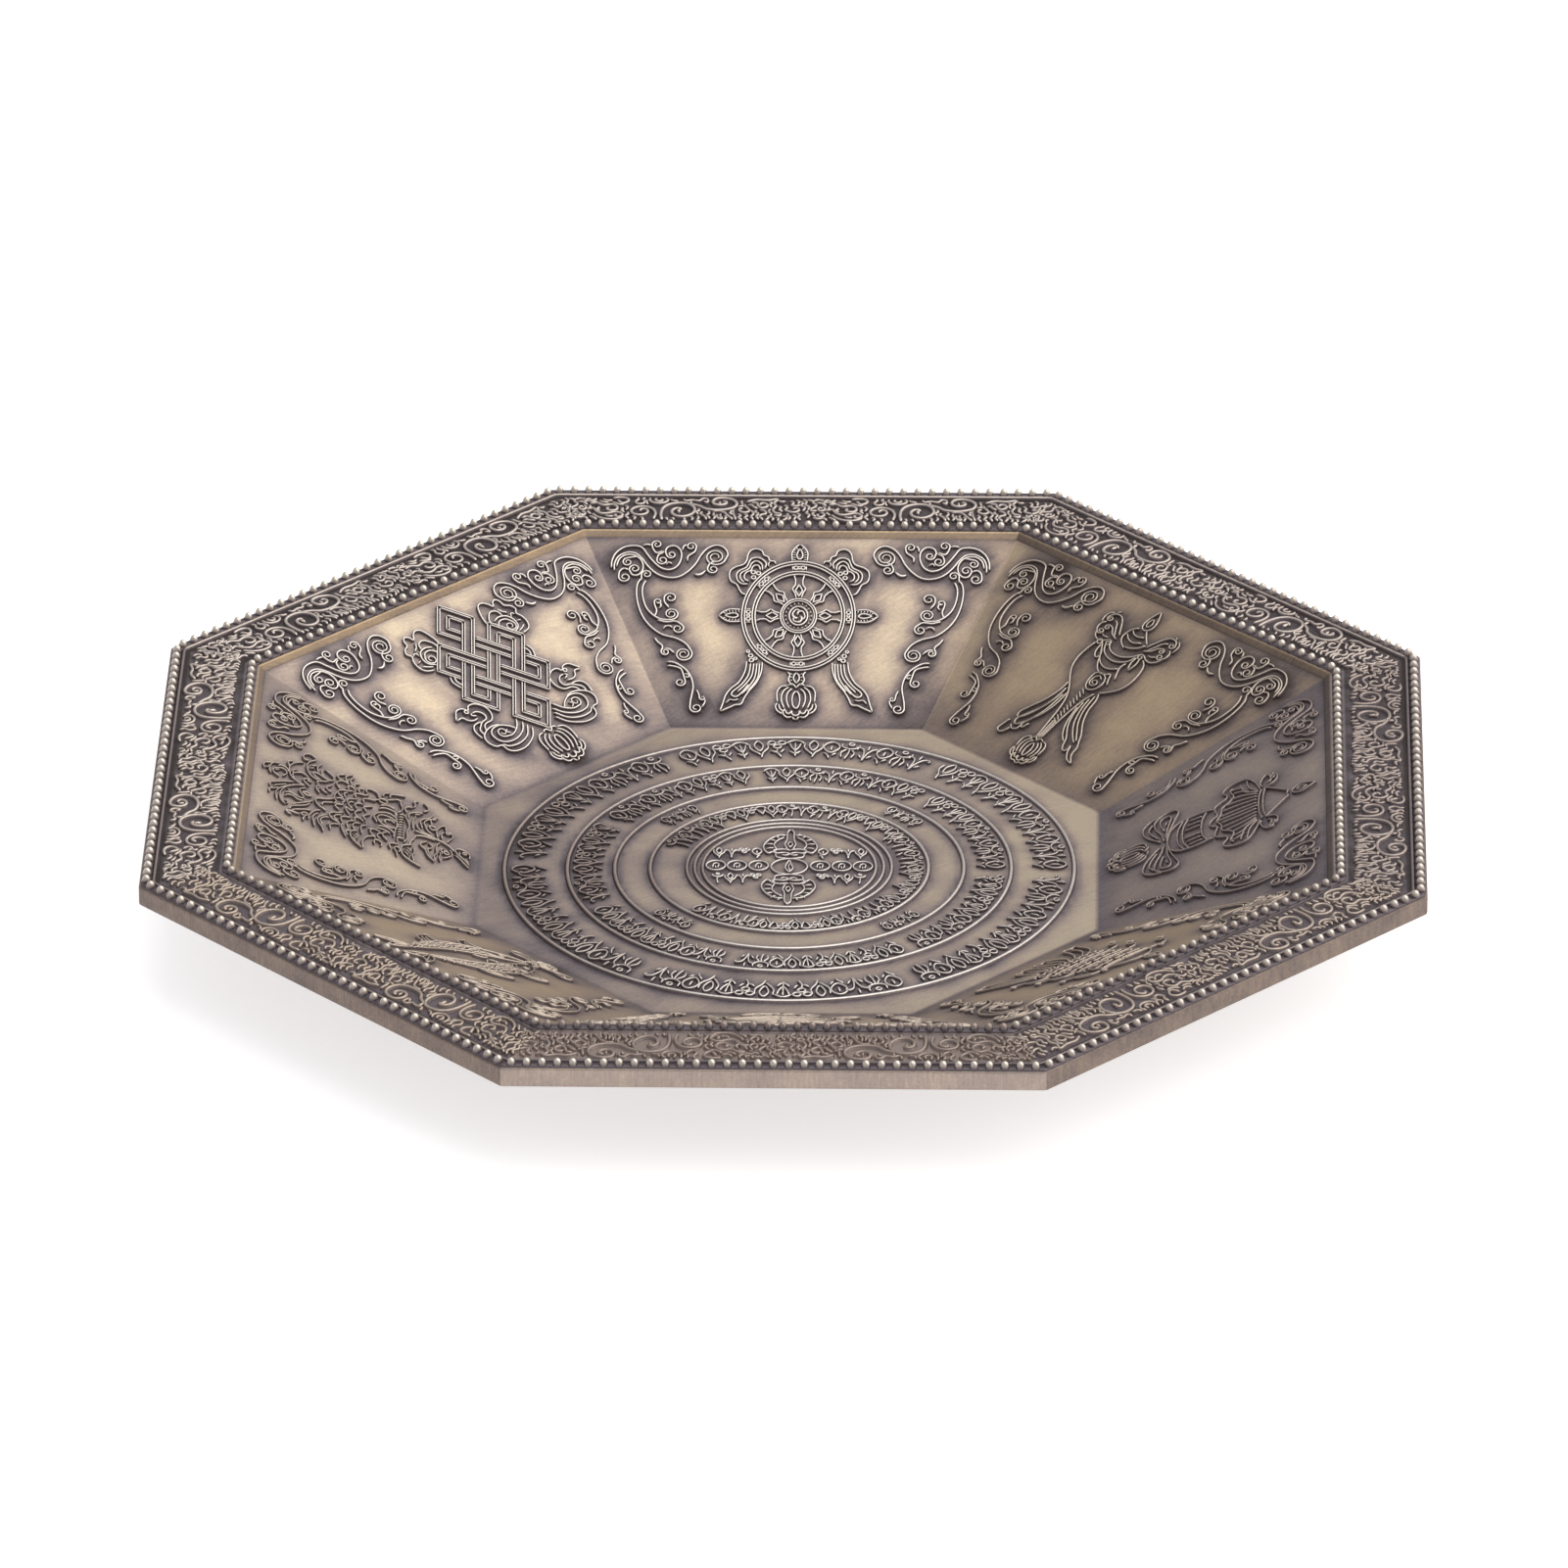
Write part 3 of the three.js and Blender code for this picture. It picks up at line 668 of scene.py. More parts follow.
def lotus_bud():
    """Bud seen from its side, from the collar at zero down to its foot: five petals, the middle
    one whole, over a row of scalloped sepals."""
    half = in_ridges([
        [-20, 1, -35, 5, -43, 21, -42, 48],
        [-8, 8, -19, 22, -21, 44, -15, 65],
        [-16, 4, -29, 18, -33, 42, -26, 66],
        [-42, 49, -46, 62, -40, 75, -29, 82],
        [-39, 52, -36, 66, -28, 74, -23, 66],
        [-29, 68, -28, 82, -19, 92, -8, 89],
        [-24, 68, -20, 80, -12, 80, -9, 70],
        [-8, 88, -4, 96, 0, 97],
        [-20, 1, -9, -4, 0, 7],
    ])
    return both(half) + [oval(0, 42, 9, 25), ridge([-8, 70, -8, 82, 0, 87, 8, 82, 8, 70])]


def flame_leaf():
    """Pointed leaf standing on zero: outline, a small leaf inside it and short veins."""
    half = [
        ridge([-17, 0, -18, -23, -12, -37, 0, -50]),
        ridge([-9, -41, -5, -33], width=0.7),
    ]
    half += [ridge([-17, y, -8, y + 3], width=0.7) for y in (-6, -13, -20, -27, -34)]
    return both(half) + [ridge([0, -35, -6, -22, -6, -12, 0, -5, 6, -12, 6, -22], closed=True)]


def ribbon_tails():
    """Left bundle of hanging ribbon, from the wheel's rim down to its split tips."""
    return in_ridges([
        [402, 378, 398, 410, 385, 440, 367, 459, 356, 478, 350, 502, 344, 522],
        [437, 380, 435, 410, 425, 440, 408, 466, 398, 486, 391, 503, 378, 505, 366, 512, 346, 523],
        [411, 384, 406, 420, 390, 448, 371, 468, 370, 478, 380, 482, 392, 470, 408, 445],
        [418, 384, 414, 420, 400, 446, 382, 468],
        [425, 384, 421, 425, 408, 452, 392, 474],
        [431, 384, 428, 425, 416, 450, 404, 466],
        fine([357, 500, 366, 490, 376, 492, 386, 488]),
        oval(410, 364, 5), oval(412, 377, 5), oval(421, 372, 4), oval(404, 352, 4),
    ])


def left_cloud():
    """Cloud behind the left shoulder of the wheel: four nested lobed lines round three rings."""
    return in_ridges([
        [462, 98, 458, 90, 448, 90, 444, 78, 434, 73, 430, 61, 418, 55, 405, 59, 398, 72, 395, 90,
         387, 101, 370, 108, 359, 119, 357, 135, 362, 150, 374, 158, 380, 172, 387, 184, 396, 187],
        [437, 112, 440, 98, 431, 85, 418, 80, 405, 85, 399, 100, 394, 110, 379, 119, 373, 131,
         376, 147, 387, 157, 400, 156],
        [432, 117, 430, 100, 418, 90, 407, 97, 402, 111, 394, 118, 383, 126, 382, 141, 391, 152],
        [427, 117, 424, 105, 416, 102, 409, 108, 406, 118, 397, 122, 391, 132, 393, 144, 402, 148],
        oval(411, 123, 5), oval(423, 126, 5), oval(412, 138, 5),
        fine([448, 90, 445, 100, 447, 106]),
    ])


# The wheel, in the units of the wall's drawing: its middle, how narrow it is for its height, the
# heights of its rims, and marks as distances out along a spoke and to its side
WHEEL_MIDDLE = (516, 248)
WHEEL_SQUEEZE = 0.82
WHEEL_RIMS = (157, 149, 128, 120)
WHEEL_SPOKES = 8
SPOKE_FLARE = ((119, 15), (104, 10), (90, 10), (77, 19), (66, 11), (51, 7))
SPOKE_DIAMOND = ((90, 0), (73, 10), (56, 0), (73, -10))
RINGS_OUT = 138.5
HUB_BEADS = 20
HUB_ARMS = 3


def wheel_drawing():
    """Eight spoked wheel, a little narrower than tall: nested rims with eight pairs of rings
    between them, spokes that spread round a diamond, a beaded hub with three arms."""
    x, y, squeeze = *WHEEL_MIDDLE, WHEEL_SQUEEZE
    drawing = [oval(x, y, ry * squeeze, ry) for ry in WHEEL_RIMS]
    drawing += [oval(x, y, 41, 49), oval(x, y, 21, 27), oval(x, y, 36, 43, width=0.7)]
    for angle in np.arange(HUB_BEADS) * math.tau / HUB_BEADS:
        drawing.append(dot(x + 29 * math.cos(angle), y + 35.5 * math.sin(angle), 3))
    for angle in np.arange(HUB_ARMS) * math.tau / HUB_ARMS:
        turned = angle + np.radians([0, 25, 75, 130, 170])
        reach = np.array([3, 9, 14, 15, 12])
        arm = np.stack([x + reach * np.cos(turned), y + 1.3 * reach * np.sin(turned)], -1)
        drawing.append(ridge(arm, swell=[1.6, 1.1, 0.8]))
    for angle in np.arange(WHEEL_SPOKES) * math.tau / WHEEL_SPOKES:
        out = np.array([math.cos(angle) * squeeze, math.sin(angle)])
        side = np.array([-math.sin(angle) * squeeze, math.cos(angle)])

        def along_spoke(marks):
            """Points at these distances out along the spoke and to its side."""
            return [(x, y) + r * out + w * side for r, w in marks]
        for hand in (-1, 1):
            drawing.append(ridge(along_spoke([(r, hand * w) for r, w in SPOKE_FLARE]), straight=True))
            drawing.append(oval(*along_spoke([(RINGS_OUT, hand * 10)])[0], 5))
            drawing.append(ridge(along_spoke([(131, hand * 19), (146, hand * 19)]), width=0.8))
        drawing.append(oval(*along_spoke([(RINGS_OUT, 0)])[0], 4))
        drawing.append(ridge(along_spoke(SPOKE_DIAMOND), closed=True, straight=True))
    drawing += both(left_cloud() + ribbon_tails(), x)
    drawing += placed(flame_leaf(), x, 90) + placed(flame_leaf(), x - 131, y, -90, 1.0)
    drawing += placed(flame_leaf(), x + 131, y, 90, 1.0)
    drawing += placed(lotus_bud(), x - 1, 448)
    stem = [ridge([-22, -40, -15, -30, -18, -14, -9, 0]), ridge([0, -38, -6, -26, -6, -16, 0, -6])]
    stem += [fine([-16, y, -9, y + 1]) for y in (-33, -24, -15)]
    return drawing + placed(both(stem), x - 1, 448)


# The knot, in units of its slanted grid: its four ridges, the pitch of its bands, the half gap
# where one runs under another, and the corners of its path; then its place in the drawing
KNOT_LINES = (0.15, 0.085, -0.085, -0.15)
KNOT_PITCH = 0.64
KNOT_GAP = 0.17
KNOT_MIDDLE = (533, 242)
KNOT_SCALE = (60, 72)
KNOT_FINENESS = 0.78
KNOT_TURNS = [(-2, -2), (-1, -2), (-1, 2), (0, 2), (0, -2), (1, -2), (1, 2), (2, 2), (2, 1), (-2, 1),
              (-2, 0), (2, 0), (2, -1), (-2, -1)]


def knot_bands():
    """The endless knot: one closed path on a slanted grid, four ridges wide. Each ridge is the
    path moved sideways by its distance; where a band runs under another it is left out."""
    corners = np.array(KNOT_TURNS) * KNOT_PITCH
    heading = np.sign(np.roll(corners, -1, 0) - corners)
    outward = np.stack([-heading[:, 1], heading[:, 0]], -1)
    drawing = []
    for offset in KNOT_LINES:
        moved = corners + offset * (outward + np.roll(outward, 1, 0))
        for index, (start, end) in enumerate(zip(moved, np.roll(moved, -1, 0))):
            axis = int(heading[index, 0] == 0)
            low, high = sorted((start[axis], end[axis]))
            across = round(corners[index, 1 - axis] / KNOT_PITCH)
            gaps = []
            if abs(across) < 2:
                gaps = [k * KNOT_PITCH for k in (-1, 0, 1) if (across + k + axis) % 2 == 0]
            ends = [low] + [g + s * KNOT_GAP for g in gaps for s in (-1, 1)] + [high]
            for a, b in zip(ends[::2], ends[1::2]):
                line = np.full((2, 2), start[1 - axis])
                line[:, axis] = (a, b)
                x = KNOT_MIDDLE[0] + KNOT_SCALE[0] * (line[:, 0] - line[:, 1])
                y = KNOT_MIDDLE[1] + KNOT_SCALE[1] * (line[:, 0] + line[:, 1])
                xy = np.stack([x, y], -1)
                drawing.append(ridge(xy, straight=True, width=KNOT_FINENESS))
    return drawing


def knot_drawing():
    """Endless knot with a cloud at each shoulder, scrolled ribbons at its foot and a bud."""
    half = in_ridges([
        [460, 132, 458, 115, 452, 95, 443, 80, 430, 77, 418, 86, 410, 98, 405, 88, 395, 82, 386, 90,
         384, 105, 372, 112, 365, 125, 373, 136, 366, 150, 366, 170, 376, 185, 397, 191],
        [450, 138, 446, 124, 430, 108, 413, 112, 408, 128],
        ridge([440, 152, 426, 139, 409, 140, 399, 152], -15),
        [438, 134, 420, 128, 400, 134, 391, 152, 395, 170, 412, 180],
        [390, 126, 401, 118, 408, 105],
        fine([376, 137, 386, 131, 391, 142]),
        fine([374, 158, 386, 154]),
        [376, 170, 390, 178, 402, 182],
        [416, 222, 411, 240, 419, 262],
        [426, 226, 421, 242, 428, 258],
        ridge([478, 390, 462, 411, 440, 424, 420, 423], 14),
        [486, 403, 468, 425, 440, 438, 412, 437, 396, 425, 392, 405, 403, 392, 425, 389, 446, 400,
         458, 414],
        [491, 414, 470, 440, 440, 452, 410, 450, 395, 437],
        [497, 425, 478, 450, 445, 467, 415, 468, 398, 458, 393, 440, 378, 437, 368, 420, 371, 402,
         388, 389, 410, 384, 430, 388],
        [364, 404, 361, 382, 368, 367, 383, 362, 396, 364],
        [376, 398, 375, 382, 385, 372, 396, 364, 412, 360, 415, 346, 405, 334, 391, 332],
        [388, 390, 392, 378, 402, 371, 420, 369, 431, 357, 434, 340, 428, 324, 412, 312, 396, 312,
         388, 322, 378, 312, 362, 311, 351, 322, 342, 334],
        [344, 336, 360, 334, 368, 346, 380, 352, 396, 350],
        [398, 344, 386, 338, 390, 330],
        oval(381, 324, 5),
        fine([438, 404, 430, 412, 440, 420]),
    ])
    return both(half, 532) + knot_bands() + placed(lotus_bud(), 530, 450, 0, 1.05)


def conch_drawing():
    """Conch standing on its mouth: flame at the point, ribbed whorls, a curled bow each side, the
    cord round it twisted into a rope down to a bud, and a fan of ribbon each side of the rope."""
    bow = [
        ridge([470, 138, 458, 118, 446, 100, 432, 90, 416, 92, 408, 102], -9),
        ridge([462, 146, 450, 128, 440, 112, 428, 106]),
        ridge([412, 118, 404, 128, 404, 142, 412, 152], -9),
        ridge([470, 150, 452, 142, 440, 128, 430, 124], -8),
        ridge([408, 146, 416, 162, 430, 170, 444, 168, 456, 160], 9),
        slim([410, 88, 400, 98, 398, 112, 402, 124]),
        fine([428, 150, 438, 156, 450, 154]),
        fine([424, 80, 418, 88]),
    ]
    left = bow + in_ridges([
        [433, 178, 428, 198, 425, 230, 432, 260, 448, 285, 470, 312, 486, 340, 495, 375, 500, 420,
         505, 466],
        [449, 176, 452, 200, 463, 214, 471, 207, 462, 188],
        [458, 300, 456, 330, 445, 365, 426, 400, 414, 424, 420, 437, 433, 428, 449, 400, 461, 365,
         466, 325],
        [466, 316, 465, 350, 453, 390, 434, 422, 422, 442, 427, 456, 438, 452, 456, 425, 468, 388,
         473, 335],
        [479, 328, 478, 365, 470, 400, 455, 428, 445, 450, 452, 458, 460, 440],
        [420, 460, 431, 471, 443, 466, 446, 452],
        [408, 450, 403, 468, 400, 486, 412, 491, 421, 482, 426, 470],
    ])
    right = mirrored(bow, 513) + in_ridges([
        [575, 170, 591, 185, 598, 212, 597, 242, 587, 266, 566, 285, 548, 297],
        slim([566, 168, 570, 190, 565, 211]),
        slim([558, 170, 556, 190, 562, 209]),
        [541, 302, 531, 330, 524, 370, 519, 420, 517, 462],
        [551, 296, 559, 316, 564, 350, 578, 382, 600, 412, 609, 430, 618, 446, 620, 466, 629, 480,
         637, 489, 620, 484, 606, 466, 601, 448],
        [548, 306, 553, 350, 567, 386, 588, 414, 602, 432],
        [541, 318, 545, 352, 558, 390, 580, 420, 600, 438],
        [535, 332, 539, 372, 552, 406, 574, 436, 582, 456, 592, 468, 601, 460, 598, 446],
        [531, 350, 541, 398, 556, 428, 574, 446],
    ])
    body = in_ridges([
        ridge([515, 40, 524, 56, 530, 76, 527, 93, 513, 100, 502, 90, 502, 70, 508, 52], closed=True),
        ridge([514, 64, 508, 79, 514, 90, 521, 78], closed=True, width=0.8),
        [500, 99, 488, 109, 481, 124, 481, 140, 490, 152, 507, 163],
        [522, 98, 536, 115, 552, 131],
        [490, 110, 500, 119, 515, 122, 531, 117],
        [484, 124, 498, 136, 516, 141, 536, 133],
        [504, 158, 520, 158, 540, 148, 552, 134],
        [463, 160, 476, 178, 496, 187, 520, 187, 544, 176, 560, 160],
        [455, 165, 470, 190, 494, 203, 520, 204, 544, 192, 556, 172],
        [447, 170, 461, 190, 478, 215, 500, 228, 520, 228, 540, 218],
        [474, 212, 485, 230, 500, 244, 518, 247, 536, 238],
        [546, 196, 542, 214, 548, 232, 555, 247],
        [536, 238, 543, 256, 549, 268],
        ridge([500, 250, 497, 270, 503, 290, 516, 299, 531, 291, 538, 272, 532, 254, 516, 246],
              closed=True),
        ridge([526, 262, 515, 254, 506, 262, 504, 274], -12, width=0.9),
        oval(440, 173, 7),
        fine([508, 404, 509, 466]), fine([514, 404, 513, 466]),
    ])
    rope = [slim([501, y, 508, y + 5, 517, y + 14]) for y in range(300, 400, 11)]
    return left + right + body + rope + placed(lotus_bud(), 513, 468, 0, 0.82)


def lotus_crown():
    """The lotus above its seed pod: long curling leaves on both sides of a small top bud."""
    return in_ridges([
        [430, 80, 455, 76, 480, 82, 505, 98, 525, 115, 538, 130],
        [424, 102, 430, 92, 450, 86, 475, 88, 500, 97, 520, 112, 534, 126, 543, 140],
        [450, 62, 462, 60, 472, 70, 486, 84],
        [480, 62, 492, 60, 505, 72, 520, 88, 532, 104, 540, 116],
        fine([486, 70, 500, 84, 516, 100]),
        [440, 98, 436, 108, 429, 104],
        [462, 98, 471, 106, 474, 118, 466, 128, 470, 142],
        [478, 98, 484, 108, 482, 122, 478, 132, 484, 142, 496, 138, 510, 130, 524, 134, 534, 146],
        [500, 102, 488, 109, 484, 120],
        ridge([510, 138, 516, 148, 510, 160, 503, 148], closed=True, width=1.3),
        [552, 43, 562, 40, 575, 44, 583, 54, 592, 66, 598, 79],
        [540, 61, 550, 55, 575, 57, 588, 62, 597, 74],
        fine([556, 46, 562, 53, 575, 52]),
        [538, 80, 546, 66, 560, 64, 572, 74, 580, 85, 575, 94, 562, 96, 548, 88],
        fine([561, 69, 570, 80]),
        [585, 74, 592, 83, 589, 94, 578, 101],
        [543, 142, 548, 122, 560, 108, 578, 102, 600, 101, 620, 107, 636, 118, 648, 133],
        [604, 101, 622, 96, 634, 108],
        [558, 114, 576, 110, 588, 119, 597, 132, 592, 143, 582, 149, 570, 146],
        fine([577, 112, 591, 109, 602, 121]),
        ridge([550, 152, 560, 140, 573, 137, 580, 146], 7),
        [594, 174, 600, 156, 614, 146, 636, 141, 658, 144, 673, 153, 686, 161, 698, 150, 694, 138,
         680, 130, 665, 134, 668, 145],
        [600, 178, 607, 164, 619, 156, 625, 168, 618, 184, 615, 197, 624, 206, 638, 206, 648, 196,
         657, 184],
        fine([636, 148, 643, 161]), fine([650, 150, 655, 161, 669, 165]),
        [624, 182, 638, 176, 657, 178],
        [636, 168, 654, 166, 668, 172, 680, 177],
        [540, 178, 548, 171, 562, 168, 574, 173, 584, 168, 594, 176, 602, 188, 612, 197],
        [552, 197, 556, 184, 566, 178],
        [566, 206, 568, 196, 578, 192, 588, 198, 600, 206],
        ridge([386, 119, 389, 109, 397, 105, 400, 118, 402, 136], width=1.5),
        ridge([384, 148, 394, 146, 402, 153], width=1.2),
        [402, 118, 414, 124, 424, 136, 434, 148, 441, 162],
        [410, 112, 424, 116, 436, 128, 448, 142, 460, 152, 474, 159],
        ridge([404, 145, 410, 140, 420, 149, 414, 156], closed=True),
        [436, 118, 450, 130, 462, 142, 478, 156, 490, 164],
        [400, 158, 418, 160, 436, 166, 452, 174, 461, 186],
        [380, 174, 396, 170, 412, 168, 430, 172, 445, 181],
        [373, 196, 389, 190, 402, 182, 420, 180, 438, 188, 451, 199],
        [400, 191, 418, 186, 436, 194, 445, 207],
        [470, 197, 480, 178, 496, 170, 510, 174, 520, 190, 530, 202, 542, 211, 560, 213, 580, 218],
        [490, 186, 502, 188, 512, 200, 521, 212],
    ])


def lotus_heart():
    """The middle rows of the lotus: overlapping petals and curls round the seed pod."""
    return in_ridges([
        [396, 212, 411, 209, 424, 218, 433, 231, 441, 225, 446, 212, 460, 205, 474, 212, 484, 226,
         496, 239],
        fine([410, 204, 431, 209]),
        [446, 225, 456, 217, 470, 222, 481, 237],
        [452, 237, 466, 232, 479, 243, 485, 257],
        [440, 250, 456, 248, 470, 256, 480, 269],
        [440, 267, 454, 262, 470, 268, 477, 281],
        [436, 286, 452, 282, 470, 284, 480, 294, 497, 292],
        [390, 250, 398, 246, 412, 240, 430, 236, 447, 240],
        [402, 254, 410, 247, 420, 252, 427, 263],
        [370, 289, 380, 276, 392, 264, 410, 258, 428, 262, 437, 275],
        fine([392, 274, 402, 262]), fine([402, 278, 413, 264]),
        fine([413, 280, 423, 267]),
        ridge([374, 292, 392, 289, 412, 291, 432, 300, 448, 317], width=1.2),
        [500, 227, 510, 216, 522, 222, 530, 235, 541, 230],
        [520, 213, 532, 219, 541, 212],
        [548, 218, 556, 228, 548, 238, 541, 231],
        [562, 235, 570, 222, 584, 220, 596, 230, 604, 244, 613, 257],
        [572, 238, 584, 234, 595, 245],
        [600, 223, 616, 214, 632, 220, 640, 232, 635, 245],
        [640, 223, 652, 214, 664, 222, 673, 233],
        [640, 241, 656, 234, 672, 238, 687, 251],
        [644, 249, 660, 246, 676, 256],
        [632, 257, 648, 258, 657, 269],
        [612, 246, 622, 240, 630, 250, 624, 258],
        [498, 252, 512, 243, 526, 242, 519, 254, 529, 263],
        [530, 256, 542, 247, 556, 250, 563, 261],
        [552, 244, 564, 244, 574, 254, 583, 267],
        [500, 271, 514, 264, 530, 270, 541, 281],
        [540, 268, 552, 262, 566, 270, 571, 283],
        [590, 263, 602, 260, 612, 270, 616, 284, 627, 293],
        [620, 271, 634, 266, 641, 279],
        [484, 268, 494, 264, 500, 276, 494, 287],
        [505, 291, 515, 284, 528, 292, 539, 301],
        [545, 291, 558, 284, 570, 294, 579, 305],
        [582, 283, 596, 280, 606, 294, 611, 311],
        [635, 288, 646, 284, 655, 296, 652, 310, 640, 315, 626, 318, 612, 305],
        oval(539, 343, 24, 25), ridge([530, 340, 537, 334, 546, 340, 551, 351, 546, 360], width=1.3),
        [500, 320, 509, 334, 507, 350, 497, 361],
        [518, 318, 536, 309, 556, 315, 572, 330, 579, 346, 573, 360],
        [488, 316, 494, 336, 489, 352],
        slim([470, 300, 478, 314, 476, 330]),
        [585, 320, 597, 336, 597, 354, 585, 364],
        [601, 322, 613, 340, 609, 357],
        ridge([616, 320, 628, 318, 634, 330, 624, 338, 615, 330], closed=True),
        [638, 336, 649, 350, 660, 361, 655, 371],
        [656, 342, 670, 344, 680, 358, 690, 379],
        [650, 326, 664, 329, 673, 341],
    ])


def lotus_foot():
    """The lotus below its seed pod: the fringe, drooping side leaves, stalk and rolled foot."""
    fringe = [slim([x, 367, x + 5, 381]) for x in range(488, 600, 12)]
    return fringe + in_ridges([
        [482, 360, 510, 362, 540, 365, 570, 361, 598, 357],
        [478, 386, 500, 392, 530, 390, 560, 394, 590, 386, 604, 378],
        [414, 318, 426, 315, 435, 324, 428, 334, 416, 333],
        [440, 319, 450, 310, 462, 304, 474, 308, 481, 321],
        [444, 331, 452, 322, 466, 324, 475, 335],
        [452, 347, 462, 336, 478, 334, 489, 345],
        [424, 356, 438, 351, 450, 360, 456, 372, 471, 369, 486, 371, 489, 385],
        [402, 373, 416, 370, 430, 364, 442, 370, 436, 378, 423, 376],
        ridge([396, 431, 400, 414, 408, 396, 420, 384, 440, 380, 460, 384, 472, 396, 480, 405],
              width=1.3),
        fine([424, 400, 437, 386]), fine([436, 403, 448, 389]),
        fine([448, 405, 459, 392]),
        [410, 413, 430, 408, 450, 412, 471, 409],
        [604, 366, 616, 372, 632, 374, 650, 368, 669, 372],
        [620, 385, 632, 380, 646, 386, 653, 399],
        [600, 391, 616, 391, 630, 400, 640, 412, 645, 425],
        [658, 401, 672, 404, 682, 399, 691, 411],
        [657, 424, 668, 434, 684, 434, 695, 423],
        slim([626, 404, 635, 419]),
        ridge([478, 399, 496, 402, 512, 408, 528, 412, 538, 424, 544, 440, 546, 459], width=1.2),
        [558, 404, 580, 401, 600, 403, 622, 408],
        [556, 452, 560, 426, 572, 413, 592, 411],
        ridge([552, 408, 552, 440, 551, 470, 545, 490, 532, 505], width=1.3),
        [447, 461, 459, 446, 472, 440, 484, 436, 492, 426, 502, 424, 514, 432, 527, 441],
        [476, 445, 490, 442, 500, 450, 512, 452, 521, 443],
        [452, 462, 470, 459, 490, 464, 510, 462, 530, 464, 543, 471],
        [461, 475, 474, 471, 490, 474, 501, 470],
        [500, 479, 512, 473, 525, 481],
        [481, 482, 491, 491, 502, 498, 516, 500, 531, 493],
        oval(508, 487, 7),
        [566, 449, 575, 438, 590, 432, 605, 428, 621, 434, 634, 444, 641, 457],
        [578, 425, 600, 419, 618, 424, 631, 436, 650, 445, 666, 448],
        ridge([588, 447, 599, 440, 605, 452, 594, 457], closed=True),
        [610, 447, 628, 443, 641, 450, 653, 461],
        [565, 463, 584, 459, 604, 462, 622, 470, 628, 478, 611, 482],
        [568, 474, 584, 471, 601, 478],
        [559, 486, 574, 492, 590, 498, 604, 496, 612, 486],
        oval(601, 486, 5),
        [483, 543, 494, 530, 506, 520, 517, 507],
        [497, 543, 508, 532, 518, 521, 526, 511, 540, 507, 551, 516, 553, 530, 543, 542, 527, 542],
        fine([508, 541, 519, 529]), oval(540, 530, 5),
        fine([528, 518, 543, 517]),
    ])


def lotus_drawing():
    """Full lotus among its leaves."""
    return lotus_crown() + lotus_heart() + lotus_foot()


def parasol_drawing():
    """Parasol: jewel, cone, a cloud each side, fringed valance in folds, drum, and ribbon lobes
    over a bud."""
    half = in_ridges([
        [518, 42, 506, 60, 500, 79, 508, 95, 518, 100],
        fine([518, 62, 510, 78, 518, 90]),
        [518, 112, 503, 108, 498, 116, 480, 132, 455, 156, 447, 162],
        [447, 162, 480, 168, 518, 170],
        [449, 172, 480, 178, 518, 180],
        ridge([446, 160, 440, 145, 427, 135, 411, 134], -10),
        ridge([436, 172, 425, 176, 408, 172, 394, 165, 389, 153], 8),
        slim([430, 160, 424, 150, 413, 148]),
        [444, 176, 410, 186, 382, 200, 370, 214, 371, 240, 382, 260, 398, 266, 413, 256, 428, 258,
         437, 272, 450, 286, 470, 284, 492, 280, 502, 292, 518, 301],
        [450, 182, 424, 200, 400, 206, 380, 208],
        [454, 184, 432, 212, 405, 220, 388, 224],
        [392, 240, 400, 248, 416, 244, 434, 240, 452, 252, 466, 268, 490, 270, 505, 276, 518, 284],
        [462, 184, 446, 216, 440, 246],
        [474, 184, 464, 222, 460, 260],
        [488, 184, 482, 226, 480, 268],
        [504, 184, 502, 230, 503, 272],
        fine([414, 214, 402, 230, 400, 246]),
        fine([428, 210, 420, 228, 418, 242]),
        [450, 292, 445, 330, 450, 368, 470, 392, 500, 400, 518, 402],
        [452, 306, 480, 316, 518, 320],
        [447, 350, 480, 362, 518, 366],
        fine([450, 362, 482, 374, 518, 378]),
        fine([464, 316, 462, 350]),
        fine([482, 320, 481, 356]),
        fine([500, 322, 500, 360]),
        [504, 404, 470, 396, 430, 384, 396, 374, 379, 388, 384, 412, 406, 432, 438, 430, 474, 416,
         506, 410],
        [492, 404, 452, 400, 412, 392, 397, 400, 404, 417, 428, 418, 458, 410],
        [384, 415, 392, 442, 414, 460, 446, 458, 476, 442, 504, 420],
        slim([410, 436, 430, 446, 456, 440, 482, 426]),
        fine([420, 402, 436, 406]),
    ])
    return (both(half, DRAWN_MIDDLE) + [ridge([518, 180, 518, 284])]
            + placed(lotus_bud(), DRAWN_MIDDLE, 452))


